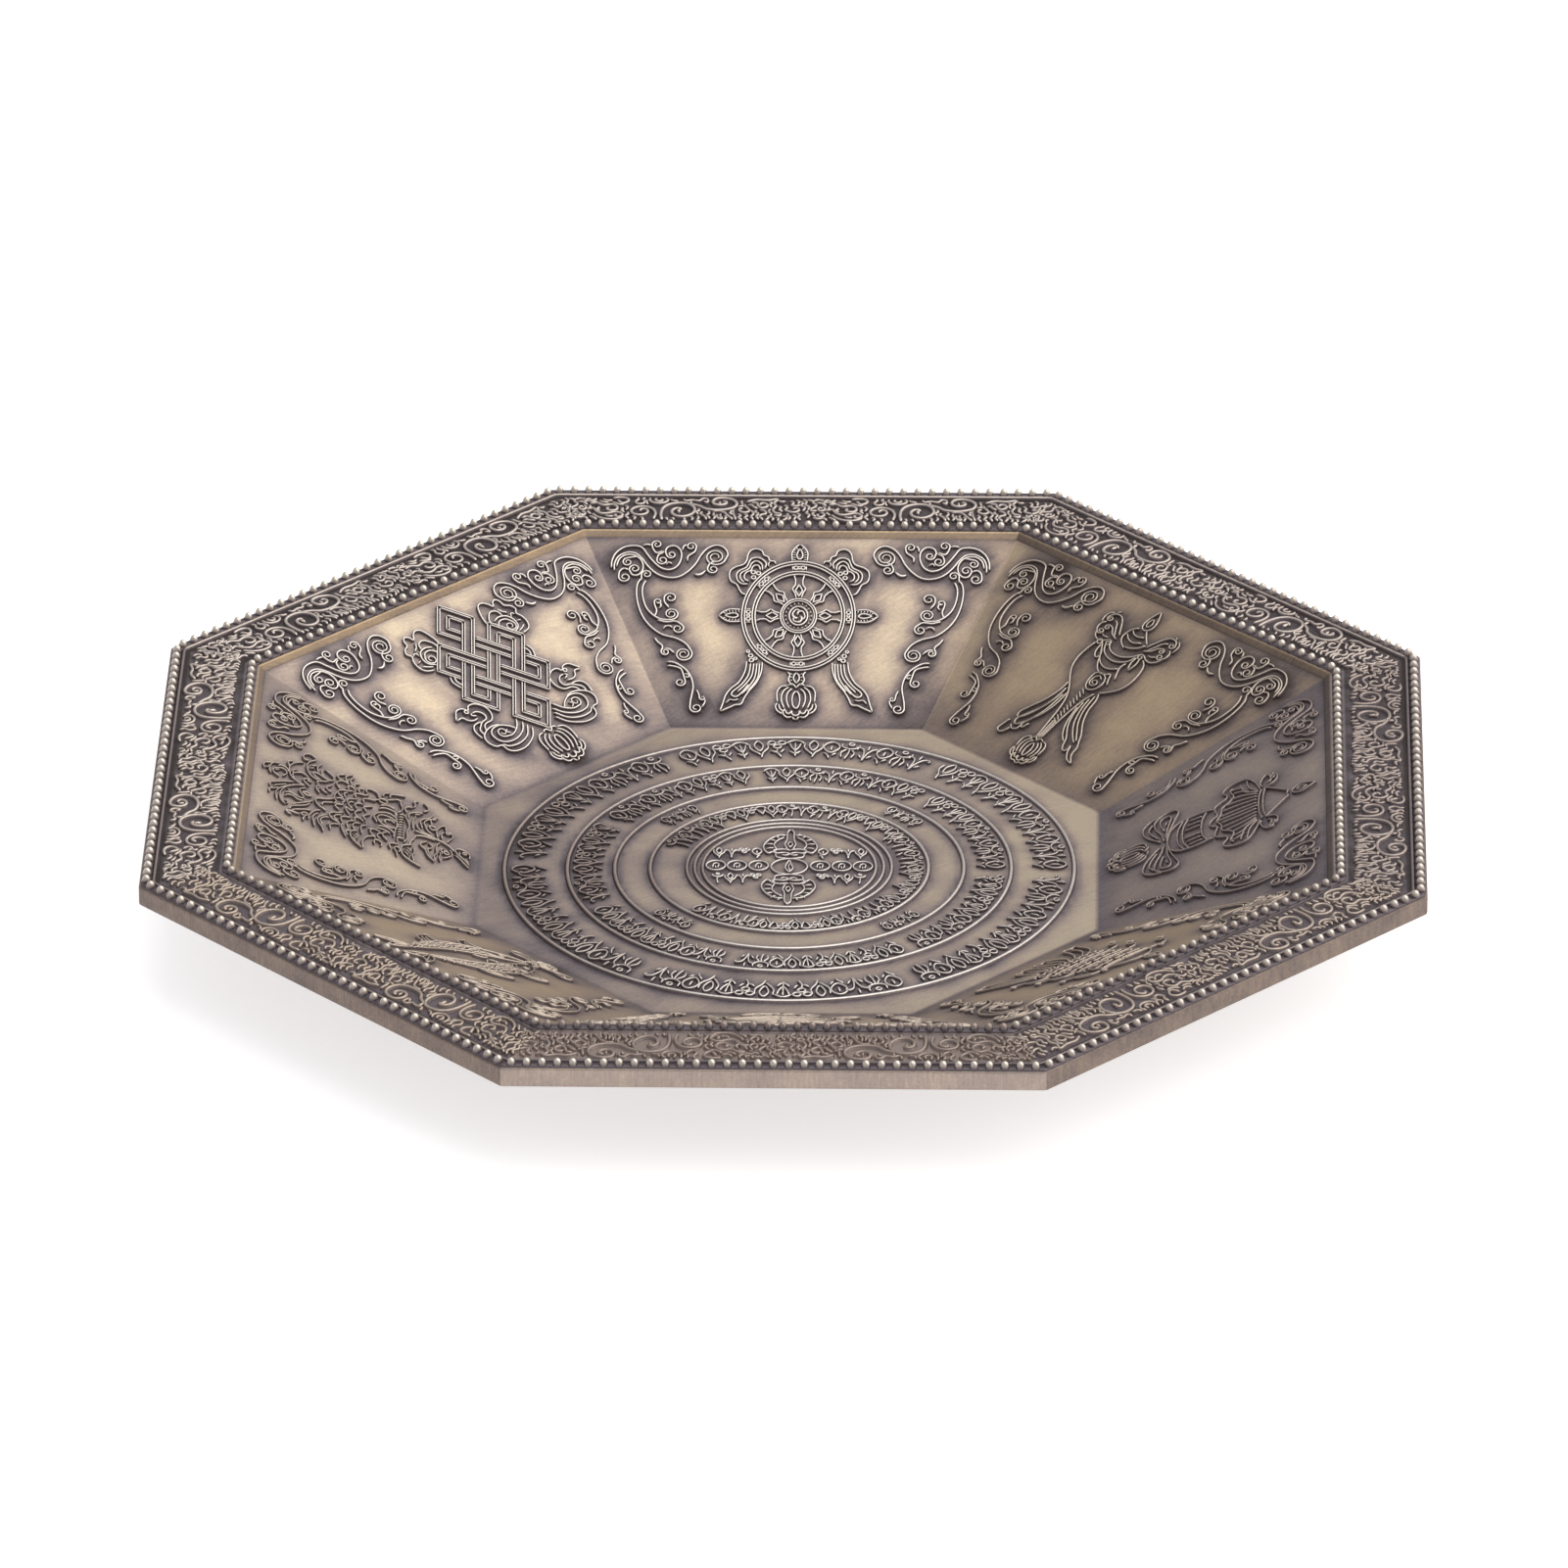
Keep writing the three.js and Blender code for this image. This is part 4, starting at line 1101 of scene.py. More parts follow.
def fish_drawing():
    """Two fish swimming down side by side, backs outwards: body, overlapping scales, head with
    gill and eye, fins and a forked tail."""
    half = in_ridges([
        [486, 112, 464, 150, 436, 200, 420, 262, 424, 330, 446, 392, 480, 438, 508, 458],
        [492, 114, 488, 160, 480, 214, 478, 270, 486, 330, 498, 382, 510, 420, 512, 452],
        [486, 112, 462, 98, 440, 70, 432, 44, 452, 58, 470, 62, 482, 48, 494, 30, 500, 58, 498, 88,
         492, 114],
        fine([452, 66, 468, 86, 484, 104]),
        fine([468, 66, 478, 84, 488, 102]),
        fine([484, 58, 488, 80, 490, 98]),
        [438, 372, 458, 362, 482, 370, 500, 388],
        fine([444, 382, 462, 374, 482, 382, 500, 400]),
        oval(478, 410, 7), dot(478, 410, 3),
        [508, 458, 500, 468, 506, 480, 514, 474],
        [428, 206, 402, 214, 384, 238, 376, 268, 396, 262, 420, 262],
        fine([392, 250, 408, 240, 424, 232]),
        fine([390, 240, 406, 228, 426, 220]),
        [428, 336, 404, 344, 388, 364, 384, 388, 404, 378, 440, 386],
        fine([396, 372, 410, 362, 430, 358]),
        [494, 300, 506, 312, 510, 332, 496, 338],
    ])
    for row in range(13):
        y = 138 + 18 * row
        middle = np.interp(y, [130, 215, 300, 370], [476, 456, 452, 468])
        reach = np.interp(y, [130, 215, 300, 370], [8, 22, 28, 22])
        count = 2 + row % 2 if reach > 12 else 1
        for x in middle + np.linspace(-1, 1, 2 * count + 1)[1::2] * reach:
            scale = [x - 9, y - 6, x - 6, y + 5, x, y + 9, x + 6, y + 5, x + 9, y - 6]
            half.append(ridge(scale, width=0.8))
    ribbon = [
        slim([500, 484, 470, 492, 440, 486, 424, 500, 436, 516, 462, 512, 490, 500]),
        fine([488, 492, 458, 500, 440, 500]),
    ]
    return both(half + ribbon, DRAWN_MIDDLE) + placed(lotus_bud(), DRAWN_MIDDLE, 482, 0, 0.6)


def vase_drawing():
    """Treasure vase: jewel in the mouth, collar, belly with a beaded band, scarf on both sides
    and a lotus foot."""
    half = in_ridges([
        [518, 40, 506, 58, 500, 78, 508, 94, 518, 98],
        fine([518, 62, 510, 78, 518, 90]),
        [500, 98, 484, 106, 470, 122, 478, 130, 518, 134],
        fine([518, 112, 492, 114, 478, 124]),
        [484, 134, 492, 150, 490, 170, 474, 182],
        [518, 172, 486, 174, 466, 184, 460, 198, 480, 206, 518, 208],
        [462, 200, 432, 222, 412, 256, 410, 296, 426, 334, 456, 364, 486, 380, 518, 384],
        [420, 252, 450, 262, 518, 266],
        [412, 296, 450, 306, 518, 310],
        slim([518, 222, 480, 226, 452, 244]),
        slim([430, 330, 466, 338, 518, 342]),
        slim([518, 330, 500, 340, 506, 356, 518, 362]),
        [482, 382, 478, 396, 462, 404, 518, 408],
        [462, 404, 440, 424, 432, 452, 446, 470, 468, 472],
        [476, 410, 462, 432, 462, 456, 474, 474],
        [498, 412, 488, 434, 490, 460, 500, 476],
        [518, 416, 508, 436, 508, 462, 518, 480],
        [434, 462, 440, 486, 462, 496, 474, 486, 486, 500, 504, 500, 518, 488],
        [440, 488, 452, 512, 478, 524, 518, 528],
        ridge([450, 140, 428, 130, 404, 136, 388, 152], -12),
        ridge([462, 152, 436, 150, 414, 160, 398, 180, 392, 206, 376, 222], 11),
        ridge([470, 160, 444, 164, 424, 176, 408, 200, 400, 230, 380, 262, 366, 300, 372, 330], -10),
        [380, 268, 388, 300, 384, 332, 368, 362, 350, 384, 346, 412, 360, 404, 380, 400, 398, 372,
         404, 346],
        fine([372, 372, 386, 352, 394, 330]),
    ])
    beads = [dot(x, 286 + 3 * (x - 518) ** 2 / -9000, 6) for x in range(434, 518, 21)]
    return both(half + beads, DRAWN_MIDDLE) + [dot(DRAWN_MIDDLE, 286, 6)]


# Top and half width of the banner's hoops
BANNER_HOOPS = ((160, 66), (232, 76), (304, 86))


def banner_drawing():
    """Victory banner: jewel, small parasol, three hoops with fringes that widen downwards, and
    long ribbons on both sides."""
    half = [
        ridge([518, 40, 507, 56, 502, 74, 509, 90, 518, 94]),
        fine([518, 58, 512, 74, 518, 86]),
        ridge([518, 98, 498, 104, 474, 122, 456, 146, 440, 150, 428, 142], 8),
        ridge([450, 152, 480, 160, 518, 162]),
    ]
    for row, (top, reach) in enumerate(BANNER_HOOPS):
        left, between = DRAWN_MIDDLE - reach, DRAWN_MIDDLE - reach * 0.5
        half.append(ridge([left, top + 2, between, top + 11, DRAWN_MIDDLE, top + 14]))
        half.append(ridge([left, top + 2, left - 6, top + 26, left, top + 50]))
        half.append(slim([left - 4, top + 26, between, top + 37, DRAWN_MIDDLE, top + 40]))
        hem = np.linspace(left, DRAWN_MIDDLE, 5 + 2 * row)
        drop = top + 50 + 12 * np.sqrt(np.clip(1 - ((DRAWN_MIDDLE - hem) / reach) ** 2, 0, 1))
        scallop = np.where(np.arange(len(hem)) % 2 == 0, 0, 11)
        half.append(ridge(np.stack([hem, drop + scallop], -1)))
        for x, y in zip(hem[::2][1:], drop[::2][1:]):
            half.append(fine([x, top + 16, x, y - 8]))
        half.append(dot(left - 6, top + 60, 5))
    half += [
        ridge([440, 372, 412, 396, 392, 430, 378, 468, 366, 500, 380, 496, 396, 506, 408, 492, 420, 462,
               440, 424, 464, 392]),
        slim([452, 380, 424, 410, 406, 444, 394, 484]),
        ridge([486, 386, 470, 420, 466, 456, 474, 486, 488, 478, 500, 492, 510, 470, 508, 430,
               508, 388]),
        slim([497, 388, 488, 424, 488, 464]),
        ridge([428, 142, 404, 150, 388, 172, 390, 196, 376, 212], 9),
        ridge([436, 240, 410, 246, 396, 266, 398, 288, 384, 304], 9),
        ridge([424, 314, 400, 320, 386, 340, 388, 360, 374, 376], 9),
    ]
    return both(half, DRAWN_MIDDLE)


SYMBOLS = {
    "right": ("parasol", parasol_drawing), "back_right": ("conch", conch_drawing),
    "back": ("wheel", wheel_drawing), "back_left": ("endless_knot", knot_drawing),
    "left": ("lotus", lotus_drawing), "front_left": ("fish_pair", fish_drawing),
    "front": ("vase", vase_drawing), "front_right": ("banner", banner_drawing),
}
# The lotus is a tangle of finer lines than the other symbols
SYMBOL_HALF_WIDTH = 0.15
LOTUS_HALF_WIDTH = 0.125
for side, (symbol, draw) in SYMBOLS.items():
    half_width = LOTUS_HALF_WIDTH if symbol == "lotus" else SYMBOL_HALF_WIDTH
    points, quads, wash = raised(draw(), on_wall(side), half_width=half_width)
    relief_pieces.append(solid(f"{symbol}_relief", points, [quads], relief_bronze, "relief",
                               [f"{symbol}_{side}"], wash=side_wash(side, wash),
                               brass=side_brass(side, wash)))

# Bead rows. Two rows of cast beads run round the rim, one along its edge and one along the ledge.
# Each bead is a rounded bell that stands clear of its neighbours, on a low dark web that joins
# the row; the wash lies in the gaps between them.

BRIGHT_BEAD = "#EDE4D8"
BEAD_WIDTH = 1.3
BEAD_LENGTH = 1.3
BEAD_SINK = 0.2
ROW_WIDTH = 1.8
WEB_HEIGHT = 0.2
WEB_INSET = 0.15
# Levels of a bead: share of its height, shares of its width and length, wash
BEAD_RINGS = ((0.0, 1.2, 1.5, 1.0), (0.2, 1.08, 1.2, 0.85), (0.5, 0.95, 0.96, 0.28),
              (0.79, 0.74, 0.76, 0.0), (0.95, 0.42, 0.44, 0.0))
BEAD_CORNERS = 8
BEAD_ROUNDING = 0.85
WEB_CORNER = 0.5
WEB_WASH = 0.72
# Row, apothem of its inner edge, height and beads to a side
BEAD_ROWS = (("outer", 98.0, 1.3, 35), ("inner", 85.7, 1.3, 32))
# Share of the wash that lies on the flanks across the row; the rest is taken off as painted light
FLANK_WASH_UNDER_PAINTED_LIGHT = 0.7
# Wash and painted shade the beads of each side keep, in the row at the edge and in the row at the ledge
BEADS_WASH_AND_SHADE = {"outer": (0.05, 0.08, 0.0, 0.0, 0.0, 0.05, 0.0, 0.05),
              "inner": (0.0, 0.0, 0.0, 0.0, 0.0, 0.16, 0.32, 0.16)}


def one_bead(height):
    """Points of a bead that stands at zero, level by level and its tip last, and their wash.
    Every level is a squarish oval, its cosine and sine raised to a power below one; its size
    follows the shares of the height, width and length."""
    angle = (np.arange(BEAD_CORNERS) + 0.5) * math.tau / BEAD_CORNERS
    across, along = np.cos(angle), np.sin(angle)
    ring = np.stack([np.sign(across) * np.abs(across) ** BEAD_ROUNDING * BEAD_WIDTH / 2,
                     np.sign(along) * np.abs(along) ** BEAD_ROUNDING * BEAD_LENGTH / 2], -1)
    level, wide, long, dark = np.array(BEAD_RINGS).T
    up = np.broadcast_to((level * height)[:, None, None], (len(level), BEAD_CORNERS, 1))
    dome = np.concatenate([ring[None] * np.stack([wide, long], -1)[:, None], up], -1)
    dome[0, :, 2] = -BEAD_SINK
    # The flanks across the row are painted lighter than those towards the next bead: painted light
    flank_share_painted_lit = FLANK_WASH_UNDER_PAINTED_LIGHT + (1 - FLANK_WASH_UNDER_PAINTED_LIGHT) * np.abs(across)
    return (np.vstack([dome.reshape(-1, 3), [[0, 0, height]]]),
            np.append(dark[:, None] * flank_share_painted_lit, 0))


def row_web(inner_apothem):
    """The flat bar that joins a row, bent round the octagon as four rings of points."""
    outer = ROW_WIDTH - WEB_INSET
    edges = inner_apothem + np.array([WEB_INSET, WEB_INSET, outer, outer])
    levels = RIM_Z + np.array([-BEAD_SINK, WEB_HEIGHT, WEB_HEIGHT, -BEAD_SINK])
    return octagon_rings(edges, levels, np.full(len(edges), WEB_CORNER))


def bead_row(inner_apothem, height, per_side, kept_wash_and_shade):
    """A row of beads and its web: one bead is set down at even steps along a side, and the side
    is turned to its eight places."""
    dome, dark = one_bead(height)
    middle = inner_apothem + ROW_WIDTH / 2
    place = ((np.arange(per_side) + 0.5) / per_side * 2 - 1) * middle * HALF_TAN
    feet = np.stack([place, np.full(per_side, middle), np.full(per_side, RIM_Z)], -1)
    beads = dome[None] + feet[:, None]
    turn = (np.arange(len(SIDES)) * SIDE_ANGLE - math.pi / 2)[:, None, None]
    x = beads[None, ..., 0] * np.cos(turn) - beads[None, ..., 1] * np.sin(turn)
    y = beads[None, ..., 0] * np.sin(turn) + beads[None, ..., 1] * np.cos(turn)
    z = np.broadcast_to(beads[None, ..., 2], x.shape)
    domes = np.stack([x, y, z], -1).reshape(-1, 3)
    kept_wash_and_shade = np.array(kept_wash_and_shade)[:, None, None]
    wash = np.broadcast_to(kept_wash_and_shade + (1 - kept_wash_and_shade) * dark, (len(SIDES), per_side, len(dark))).ravel()
    first = np.arange(len(SIDES) * per_side)[:, None, None] * len(dome)
    sides = grid_faces(len(BEAD_RINGS), BEAD_CORNERS)[None] + first
    last = (len(BEAD_RINGS) - 1) * BEAD_CORNERS + np.arange(BEAD_CORNERS)
    tip = np.stack([last, np.roll(last, -1), np.full(BEAD_CORNERS, len(dome) - 1)], -1)[None] + first
    foot = np.arange(BEAD_CORNERS)[::-1][None, None] + first
    web = row_web(inner_apothem)
    web_faces = grid_faces(len(web), web.shape[1], len(domes), True)[:, ::-1]
    points = np.vstack([domes, web.reshape(-1, 3)])
    wash = np.append(wash, np.full(len(points) - len(domes), WEB_WASH))
    faces = [sides.reshape(-1, 4), tip.reshape(-1, 3), foot.reshape(-1, BEAD_CORNERS), web_faces]
    return points, faces, wash


bead_bronze = antique_bronze("antique_bronze_bright_beads", BRIGHT_BEAD, clouding=0.1,
                             roughness=0.3, brushing=0.0)
for name, inner, height, per_side in BEAD_ROWS:
    points, faces, wash = bead_row(inner, height, per_side, BEADS_WASH_AND_SHADE[name])
    solid(f"{name}_beads", points, faces, bead_bronze, "beads", [f"{name}_bead_row"], wash=wash)

# Rim line and frieze. Between the bead rows a thin raised line edges a sunk purple band, and a
# foliage frieze runs along it: two sprays to a side, each with one large and one small volute.

FRIEZE_CROWN = "#E6DBD2"
FRIEZE_HALF_WIDTH = 0.24
# How brassy the frieze is on the left and front sides: brass tint with a painted warm reflection
FRIEZE_BRASS_AND_REFLECTION = {"left": 0.1, "front_left": 0.3, "front": 0.1, "front_right": 0.2}
# Wash and painted shade on the frieze's crowns and in its hollows, on the sides that aren't wiped clean
FRIEZE_WASH_AND_SHADE = {"front": (0.34, 0.54), "front_left": (0.18, 0.74), "front_right": (0.18, 0.8),
               "right": (0.24, 0.9), "back_right": (0.1, 0.95), "left": (0.06, 0.95)}
WIPED_CLEAN = (0, 1.1)
# The line at the foot of the outer beads, and the wash and painted shade it keeps on each side
EDGE_LINE_APOTHEM = 97.75
EDGE_LINE_HALF_WIDTH = 0.26
EDGE_LINE_HEIGHT = 0.45
EDGE_LINE_STEP = 0.6
EDGE_LINE_EASE = 0.5
EDGE_LINE_WASH_AND_SHADE = (0.55, 0.1, 0.0, 0.1, 0.5, 0.45, 0.6, 0.5)
FRIEZE_PER_MM = 18
FRIEZE_ORIGIN = (774, 40)
FRIEZE_APOTHEM = 96.9
FRIEZE_PERIOD = 702


def on_rim(side, apothem):
    """Carries drawing millimetres to the rim: across, then inwards from the apothem, then up."""
    turn = SIDES.index(side) * SIDE_ANGLE - math.pi / 2

    def place(points):
        across, inwards, up = points.T
        out = apothem - inwards
        return np.stack([across * math.cos(turn) - out * math.sin(turn),
                         across * math.sin(turn) + out * math.cos(turn), RIM_Z + up], -1)
    return place


def octagon_line(apothem):
    """The octagon at this apothem as a closed line, with its corners eased."""
    angle = (np.arange(len(SIDES)) + 0.5) * SIDE_ANGLE
    corners = np.stack([np.cos(angle), np.sin(angle)], -1) * apothem / math.cos(SIDE_ANGLE / 2)
    toward = np.roll(corners, -1, 0) - corners
    toward /= np.linalg.norm(toward, axis=1)[:, None]
    before = corners - EDGE_LINE_EASE * np.roll(toward, 1, 0)
    after = corners + EDGE_LINE_EASE * toward
    middle = (before + after + 2 * corners) / 4
    return np.stack([before, middle, after], 1).reshape(-1, 2)


def spray_drawing():
    """One spray of the frieze, eighteen units to the millimetre, outer edge at the top."""
    return in_ridges([
        ridge([363, 186, 360, 150, 365, 112, 382, 87, 410, 77, 438, 82, 455, 104, 458, 132, 445, 156,
               424, 167, 403, 161, 392, 143, 394, 122, 407, 111, 420, 118], width=1.25),
        dot(412, 126, 8),
        ridge([339, 182, 344, 150, 337, 121, 319, 105, 297, 103, 279, 113, 272, 132, 279, 151,
               296, 158, 313, 152, 321, 136, 316, 121, 303, 118, 297, 130], width=1.1),
        ridge([326, 44, 325, 62, 336, 76, 355, 80, 372, 72, 379, 57, 371, 46], width=1.0),
        [346, 46, 341, 58, 350, 68, 362, 61, 358, 50],
        [287, 42, 292, 54, 283, 70, 291, 86, 306, 81, 311, 66, 304, 54, 312, 44],
        ridge([216, 47, 236, 43, 255, 47, 263, 61, 255, 76, 243, 82, 236, 70, 230, 59], width=1.1),
        ridge([441, 82, 455, 88, 472, 97, 491, 115, 520, 122, 550, 118, 573, 104, 581, 80, 571, 56,
               546, 43, 522, 45, 511, 61, 514, 81, 530, 89, 547, 82, 550, 68, 538, 63], width=1.25),
        dot(531, 74, 6),
        [424, 48, 430, 63, 450, 58, 470, 62, 481, 47, 495, 53, 493, 74, 483, 63],
        dot(446, 74, 7),
        [594, 58, 598, 88, 610, 104, 619, 127, 606, 139, 592, 131, 589, 116, 600, 109],
        [584, 98, 600, 96, 608, 86],
        [561, 112, 570, 128, 573, 150, 580, 183],
        ridge([575, 118, 566, 130, 562, 144], -6, width=0.9),
        [511, 131, 530, 129, 546, 140, 556, 160, 571, 182],
        [516, 140, 514, 156, 520, 168, 514, 182],
        ridge([536, 146, 534, 162, 540, 176], 6, width=0.9),
        [482, 134, 476, 149, 488, 165, 494, 184],
        slim([466, 160, 472, 174, 466, 186]),
        ridge([610, 66, 638, 53, 670, 56, 701, 50, 690, 74, 696, 94, 688, 118, 695, 140, 711, 146,
               706, 160, 691, 151], width=1.1),
        ridge([624, 71, 640, 75, 644, 95, 655, 108, 671, 97, 668, 80, 655, 76, 648, 86], width=1.1),
        [620, 121, 632, 144, 625, 165, 631, 184],
        [649, 118, 664, 128, 668, 146, 655, 152, 650, 166, 660, 184],
        [680, 112, 676, 132, 684, 150, 680, 164, 691, 176, 686, 189],
        [721, 86, 730, 104, 724, 120, 736, 131, 752, 135, 765, 121, 758, 107, 746, 112],
        [738, 60, 748, 74, 742, 88, 754, 94, 770, 86],
        [716, 160, 730, 168, 726, 182, 716, 190],
        [745, 150, 756, 164, 750, 184],
        [72, 48, 84, 64, 80, 84, 92, 100, 88, 118],
        [110, 48, 102, 68, 113, 88, 105, 104, 96, 114, 102, 127, 116, 121],
        [131, 94, 139, 110, 131, 126, 119, 119, 122, 104, 131, 108],
        [126, 134, 138, 150, 128, 166, 116, 157, 122, 144],
        [128, 46, 136, 62, 130, 78, 142, 88],
        slim([148, 48, 152, 64, 166, 58, 164, 46]),
        ridge([150, 84, 170, 80, 190, 95, 215, 90, 230, 105, 228, 125, 212, 131, 200, 121, 206, 108],
              width=1.1),
        ridge([140, 121, 160, 116, 170, 136, 186, 150, 205, 148, 222, 140, 240, 145, 248, 160,
               236, 174, 225, 164, 231, 154], width=1.1),
        [158, 150, 175, 174, 202, 188, 231, 186, 251, 169],
        [186, 54, 200, 66, 216, 60],
        slim([176, 66, 190, 76, 204, 76]),
        [104, 168, 118, 178, 134, 174, 146, 186],
        slim([252, 96, 262, 108, 256, 124]),
        [60, 62, 74, 74, 68, 90, 80, 104, 74, 124],
        [84, 50, 100, 58, 118, 51, 134, 58, 152, 53],
        slim([112, 70, 126, 74, 144, 68, 156, 74, 170, 70]),
        slim([144, 96, 152, 104, 146, 112]),
        slim([172, 104, 178, 114, 168, 124, 180, 130]),
        [214, 74, 224, 82, 238, 90, 250, 86],
        [90, 124, 84, 140, 94, 152, 88, 170],
        [108, 134, 102, 148, 112, 162],
        slim([148, 132, 144, 142, 154, 150]),
        [150, 166, 160, 176, 172, 188],
        slim([196, 162, 208, 170, 222, 166]),
        [240, 110, 248, 120, 242, 130, 252, 138],
        [260, 138, 264, 152, 256, 166, 266, 182],
        [276, 166, 286, 176, 280, 188],
        slim([300, 170, 308, 182, 304, 190]),
        [318, 58, 314, 72, 320, 84],
        slim([384, 50, 392, 62, 408, 64]),
        [374, 172, 380, 188],
        [392, 174, 400, 186],
        [426, 174, 432, 188],
        [446, 166, 454, 178, 450, 190],
        [466, 112, 472, 126, 462, 138, 470, 150],
        [498, 128, 502, 144, 496, 158, 504, 178],
        [526, 150, 524, 166, 532, 184],
        [546, 158, 552, 172, 546, 186],
        [586, 146, 594, 160, 588, 172, 598, 188],
        [604, 148, 614, 160, 606, 174, 616, 188],
        [614, 86, 626, 90, 632, 102, 642, 110],
        [640, 122, 636, 136, 646, 146, 640, 164, 646, 180],
        [672, 158, 676, 172, 668, 188],
        [674, 64, 684, 74, 678, 88, 684, 100],
        [702, 56, 712, 66, 724, 60],
        [702, 96, 712, 104, 706, 118, 716, 128],
        [698, 170, 706, 180, 702, 190],
        [734, 142, 730, 154, 740, 168, 734, 184],
        [758, 142, 768, 154, 762, 170, 770, 184],
        [754, 52, 764, 64, 760, 78],
    ])


frieze_bronze = antique_bronze("antique_bronze_frieze", FRIEZE_CROWN, clouding=0.15,
                               roughness=0.34, brushing=0.03)
edge_line = [ridge(octagon_line(EDGE_LINE_APOTHEM), closed=True, straight=True)]
points, quads, wash = raised(edge_line, lambda drawn: drawn * (1, -1, 1) + (0, 0, RIM_Z), 1, (0, 0),
                             EDGE_LINE_STEP, EDGE_LINE_HALF_WIDTH, EDGE_LINE_HEIGHT)
line_side = np.round(np.arctan2(points[:, 1], points[:, 0]) / SIDE_ANGLE).astype(int) % len(SIDES)
# Each side's line gets its own wash and painted shade
kept_wash_and_shade = np.array(EDGE_LINE_WASH_AND_SHADE)[line_side]
relief_pieces.append(solid("edge_line", points, [quads], frieze_bronze, "frieze", ["rim_line"],
                           wash=kept_wash_and_shade + (1 - kept_wash_and_shade) * wash))
spray = spray_drawing()
frieze = spray + [dict(stroke, line=stroke["line"] + (FRIEZE_PERIOD, 0)) for stroke in spray]
for side in SIDES:
    points, quads, wash = raised(frieze, on_rim(side, FRIEZE_APOTHEM), FRIEZE_PER_MM, FRIEZE_ORIGIN,
                                 half_width=FRIEZE_HALF_WIDTH)
    # Each side's frieze gets its own wash and painted shade, and its brass tint with a painted warm
    # reflection
    least, most = FRIEZE_WASH_AND_SHADE.get(side, WIPED_CLEAN)
    relief_pieces.append(solid(f"foliage_frieze_{side}", points, [quads], frieze_bronze, "frieze",
                               [f"frieze_{side}"], wash=least + (most - least) * wash,
                               brass=np.full(len(wash), FRIEZE_BRASS_AND_REFLECTION.get(side, 0.0))))

# Floor rings. Low rounded rings divide the flat floor, four set apart and three close together
# round the medallion.

FLOOR_CROWN = "#FFFAF4"
FLOOR_PER_MM = 10.5
# Node, radius and width of each ring
FLOOR_RINGS = (("floor_ring_outer", 45.05, 0.62), ("floor_ring_second", 35.1, 0.62),
               ("floor_ring_third", 27.6, 0.62), ("floor_ring_fourth", 22.0, 0.6),
               ("medallion_ring_outer", 16.2, 0.48), ("medallion_ring_middle", 14.95, 0.48),
               ("medallion_ring_inner", 13.7, 0.48))
FLOOR_RELIEF_HEIGHT = 0.45
RINGS_WASH = 0.7
# Painted shade on the floor's relief on the left and on the right, and how dark its hollows are
LEFT_PAINTED_SHADE = 0.36
RIGHT_PAINTED_SHADE = 0.18
FLOOR_HOLLOWS = 1.12


def on_floor(points):
    """Carries drawing millimetres to the floor: across, then towards the front, then up."""
    return points * (1, -1, 1) + (0, 0, FLOOR_Z)


def floor_wash(points, wash):
    """The floor's relief gets more painted shade on its left and a little on its right, over its wash.
    """
    across = points[:, 0] / (np.hypot(points[:, 0], points[:, 1]) + 1)
    kept_wash_and_shade = LEFT_PAINTED_SHADE * np.clip(-across, 0, 1) ** 1.5 + RIGHT_PAINTED_SHADE * np.clip(across, 0, 1) ** 2
    return np.minimum(1, kept_wash_and_shade + FLOOR_HOLLOWS * wash)


floor_bronze = antique_bronze("antique_bronze_floor_relief", FLOOR_CROWN, clouding=0.12,
                              roughness=0.34, brushing=0.04)
for name, radius, width in FLOOR_RINGS:
    drawing = [oval(0, 0, radius * FLOOR_PER_MM, width=width / 2 / RIDGE_HALF_WIDTH)]
    points, quads, wash = raised(drawing, on_floor, FLOOR_PER_MM, (0, 0), height=FLOOR_RELIEF_HEIGHT)
    relief_pieces.append(solid(f"raised_{name}", points, [quads], floor_bronze, "floor_relief",
                               [name], wash=floor_wash(points, RINGS_WASH * wash)))

# Ornament bands. The bands between the rings carry rows of small curled buds, hooks and rings
# with hanging tendrils. They are plain ornament and spell nothing.


def tendril_marks():
    """The six marks of a band, each drawn from its head at zero down to its tip: heart bud,
    trefoil, pair of volutes, lancet between two leaves, crescent over a tassel and fan."""
    return [
        [ridge([0, -2, -9, 5, -10, 17, 0, 29, 10, 17, 9, 5], closed=True), ridge([0, 7, 0, 20]),
         ridge([-9, 29, -3, 36, 0, 44]), ridge([9, 29, 3, 36])],
        [oval(-7, 4, 5.5), oval(7, 4, 5.5), oval(0, 15, 5.5), ridge([0, 21, -1, 32, 4, 44]),
         ridge([-10, 26, -1, 32]), ridge([10, 22, 4, 31])],
        [ridge([0, 42, -2, 24, -6, 11, -12, 7], -4, turns=0.8),
         ridge([0, 42, 2, 24, 6, 11, 12, 7], 4, turns=0.8),
         ridge([0, -3, 0, 10]), ridge([-10, 26, -4, 34]), ridge([10, 26, 4, 34])],
        [ridge([0, -3, -6, 10, 0, 26, 6, 10], closed=True), ridge([-12, 4, -12, 18, -4, 31, 0, 44]),
         ridge([12, 4, 12, 18, 4, 31, 0, 36])],
        [ridge([-12, -1, -11, 9, 0, 14, 11, 9, 12, -1]), oval(0, 0, 4), ridge([0, 14, 1, 28, -1, 43]),
         ridge([-3, 15, -9, 26, -7, 38]), ridge([3, 15, 9, 26, 7, 38])],
        [ridge([-12, 5, -6, -1, 0, -3, 6, -1, 12, 5]), ridge([-8, 5, -5, 17, 0, 27]),
         ridge([8, 5, 5, 17, 0, 27]),
         ridge([0, 3, 0, 42]), ridge([-8, 28, 0, 36, 8, 28])],
    ]


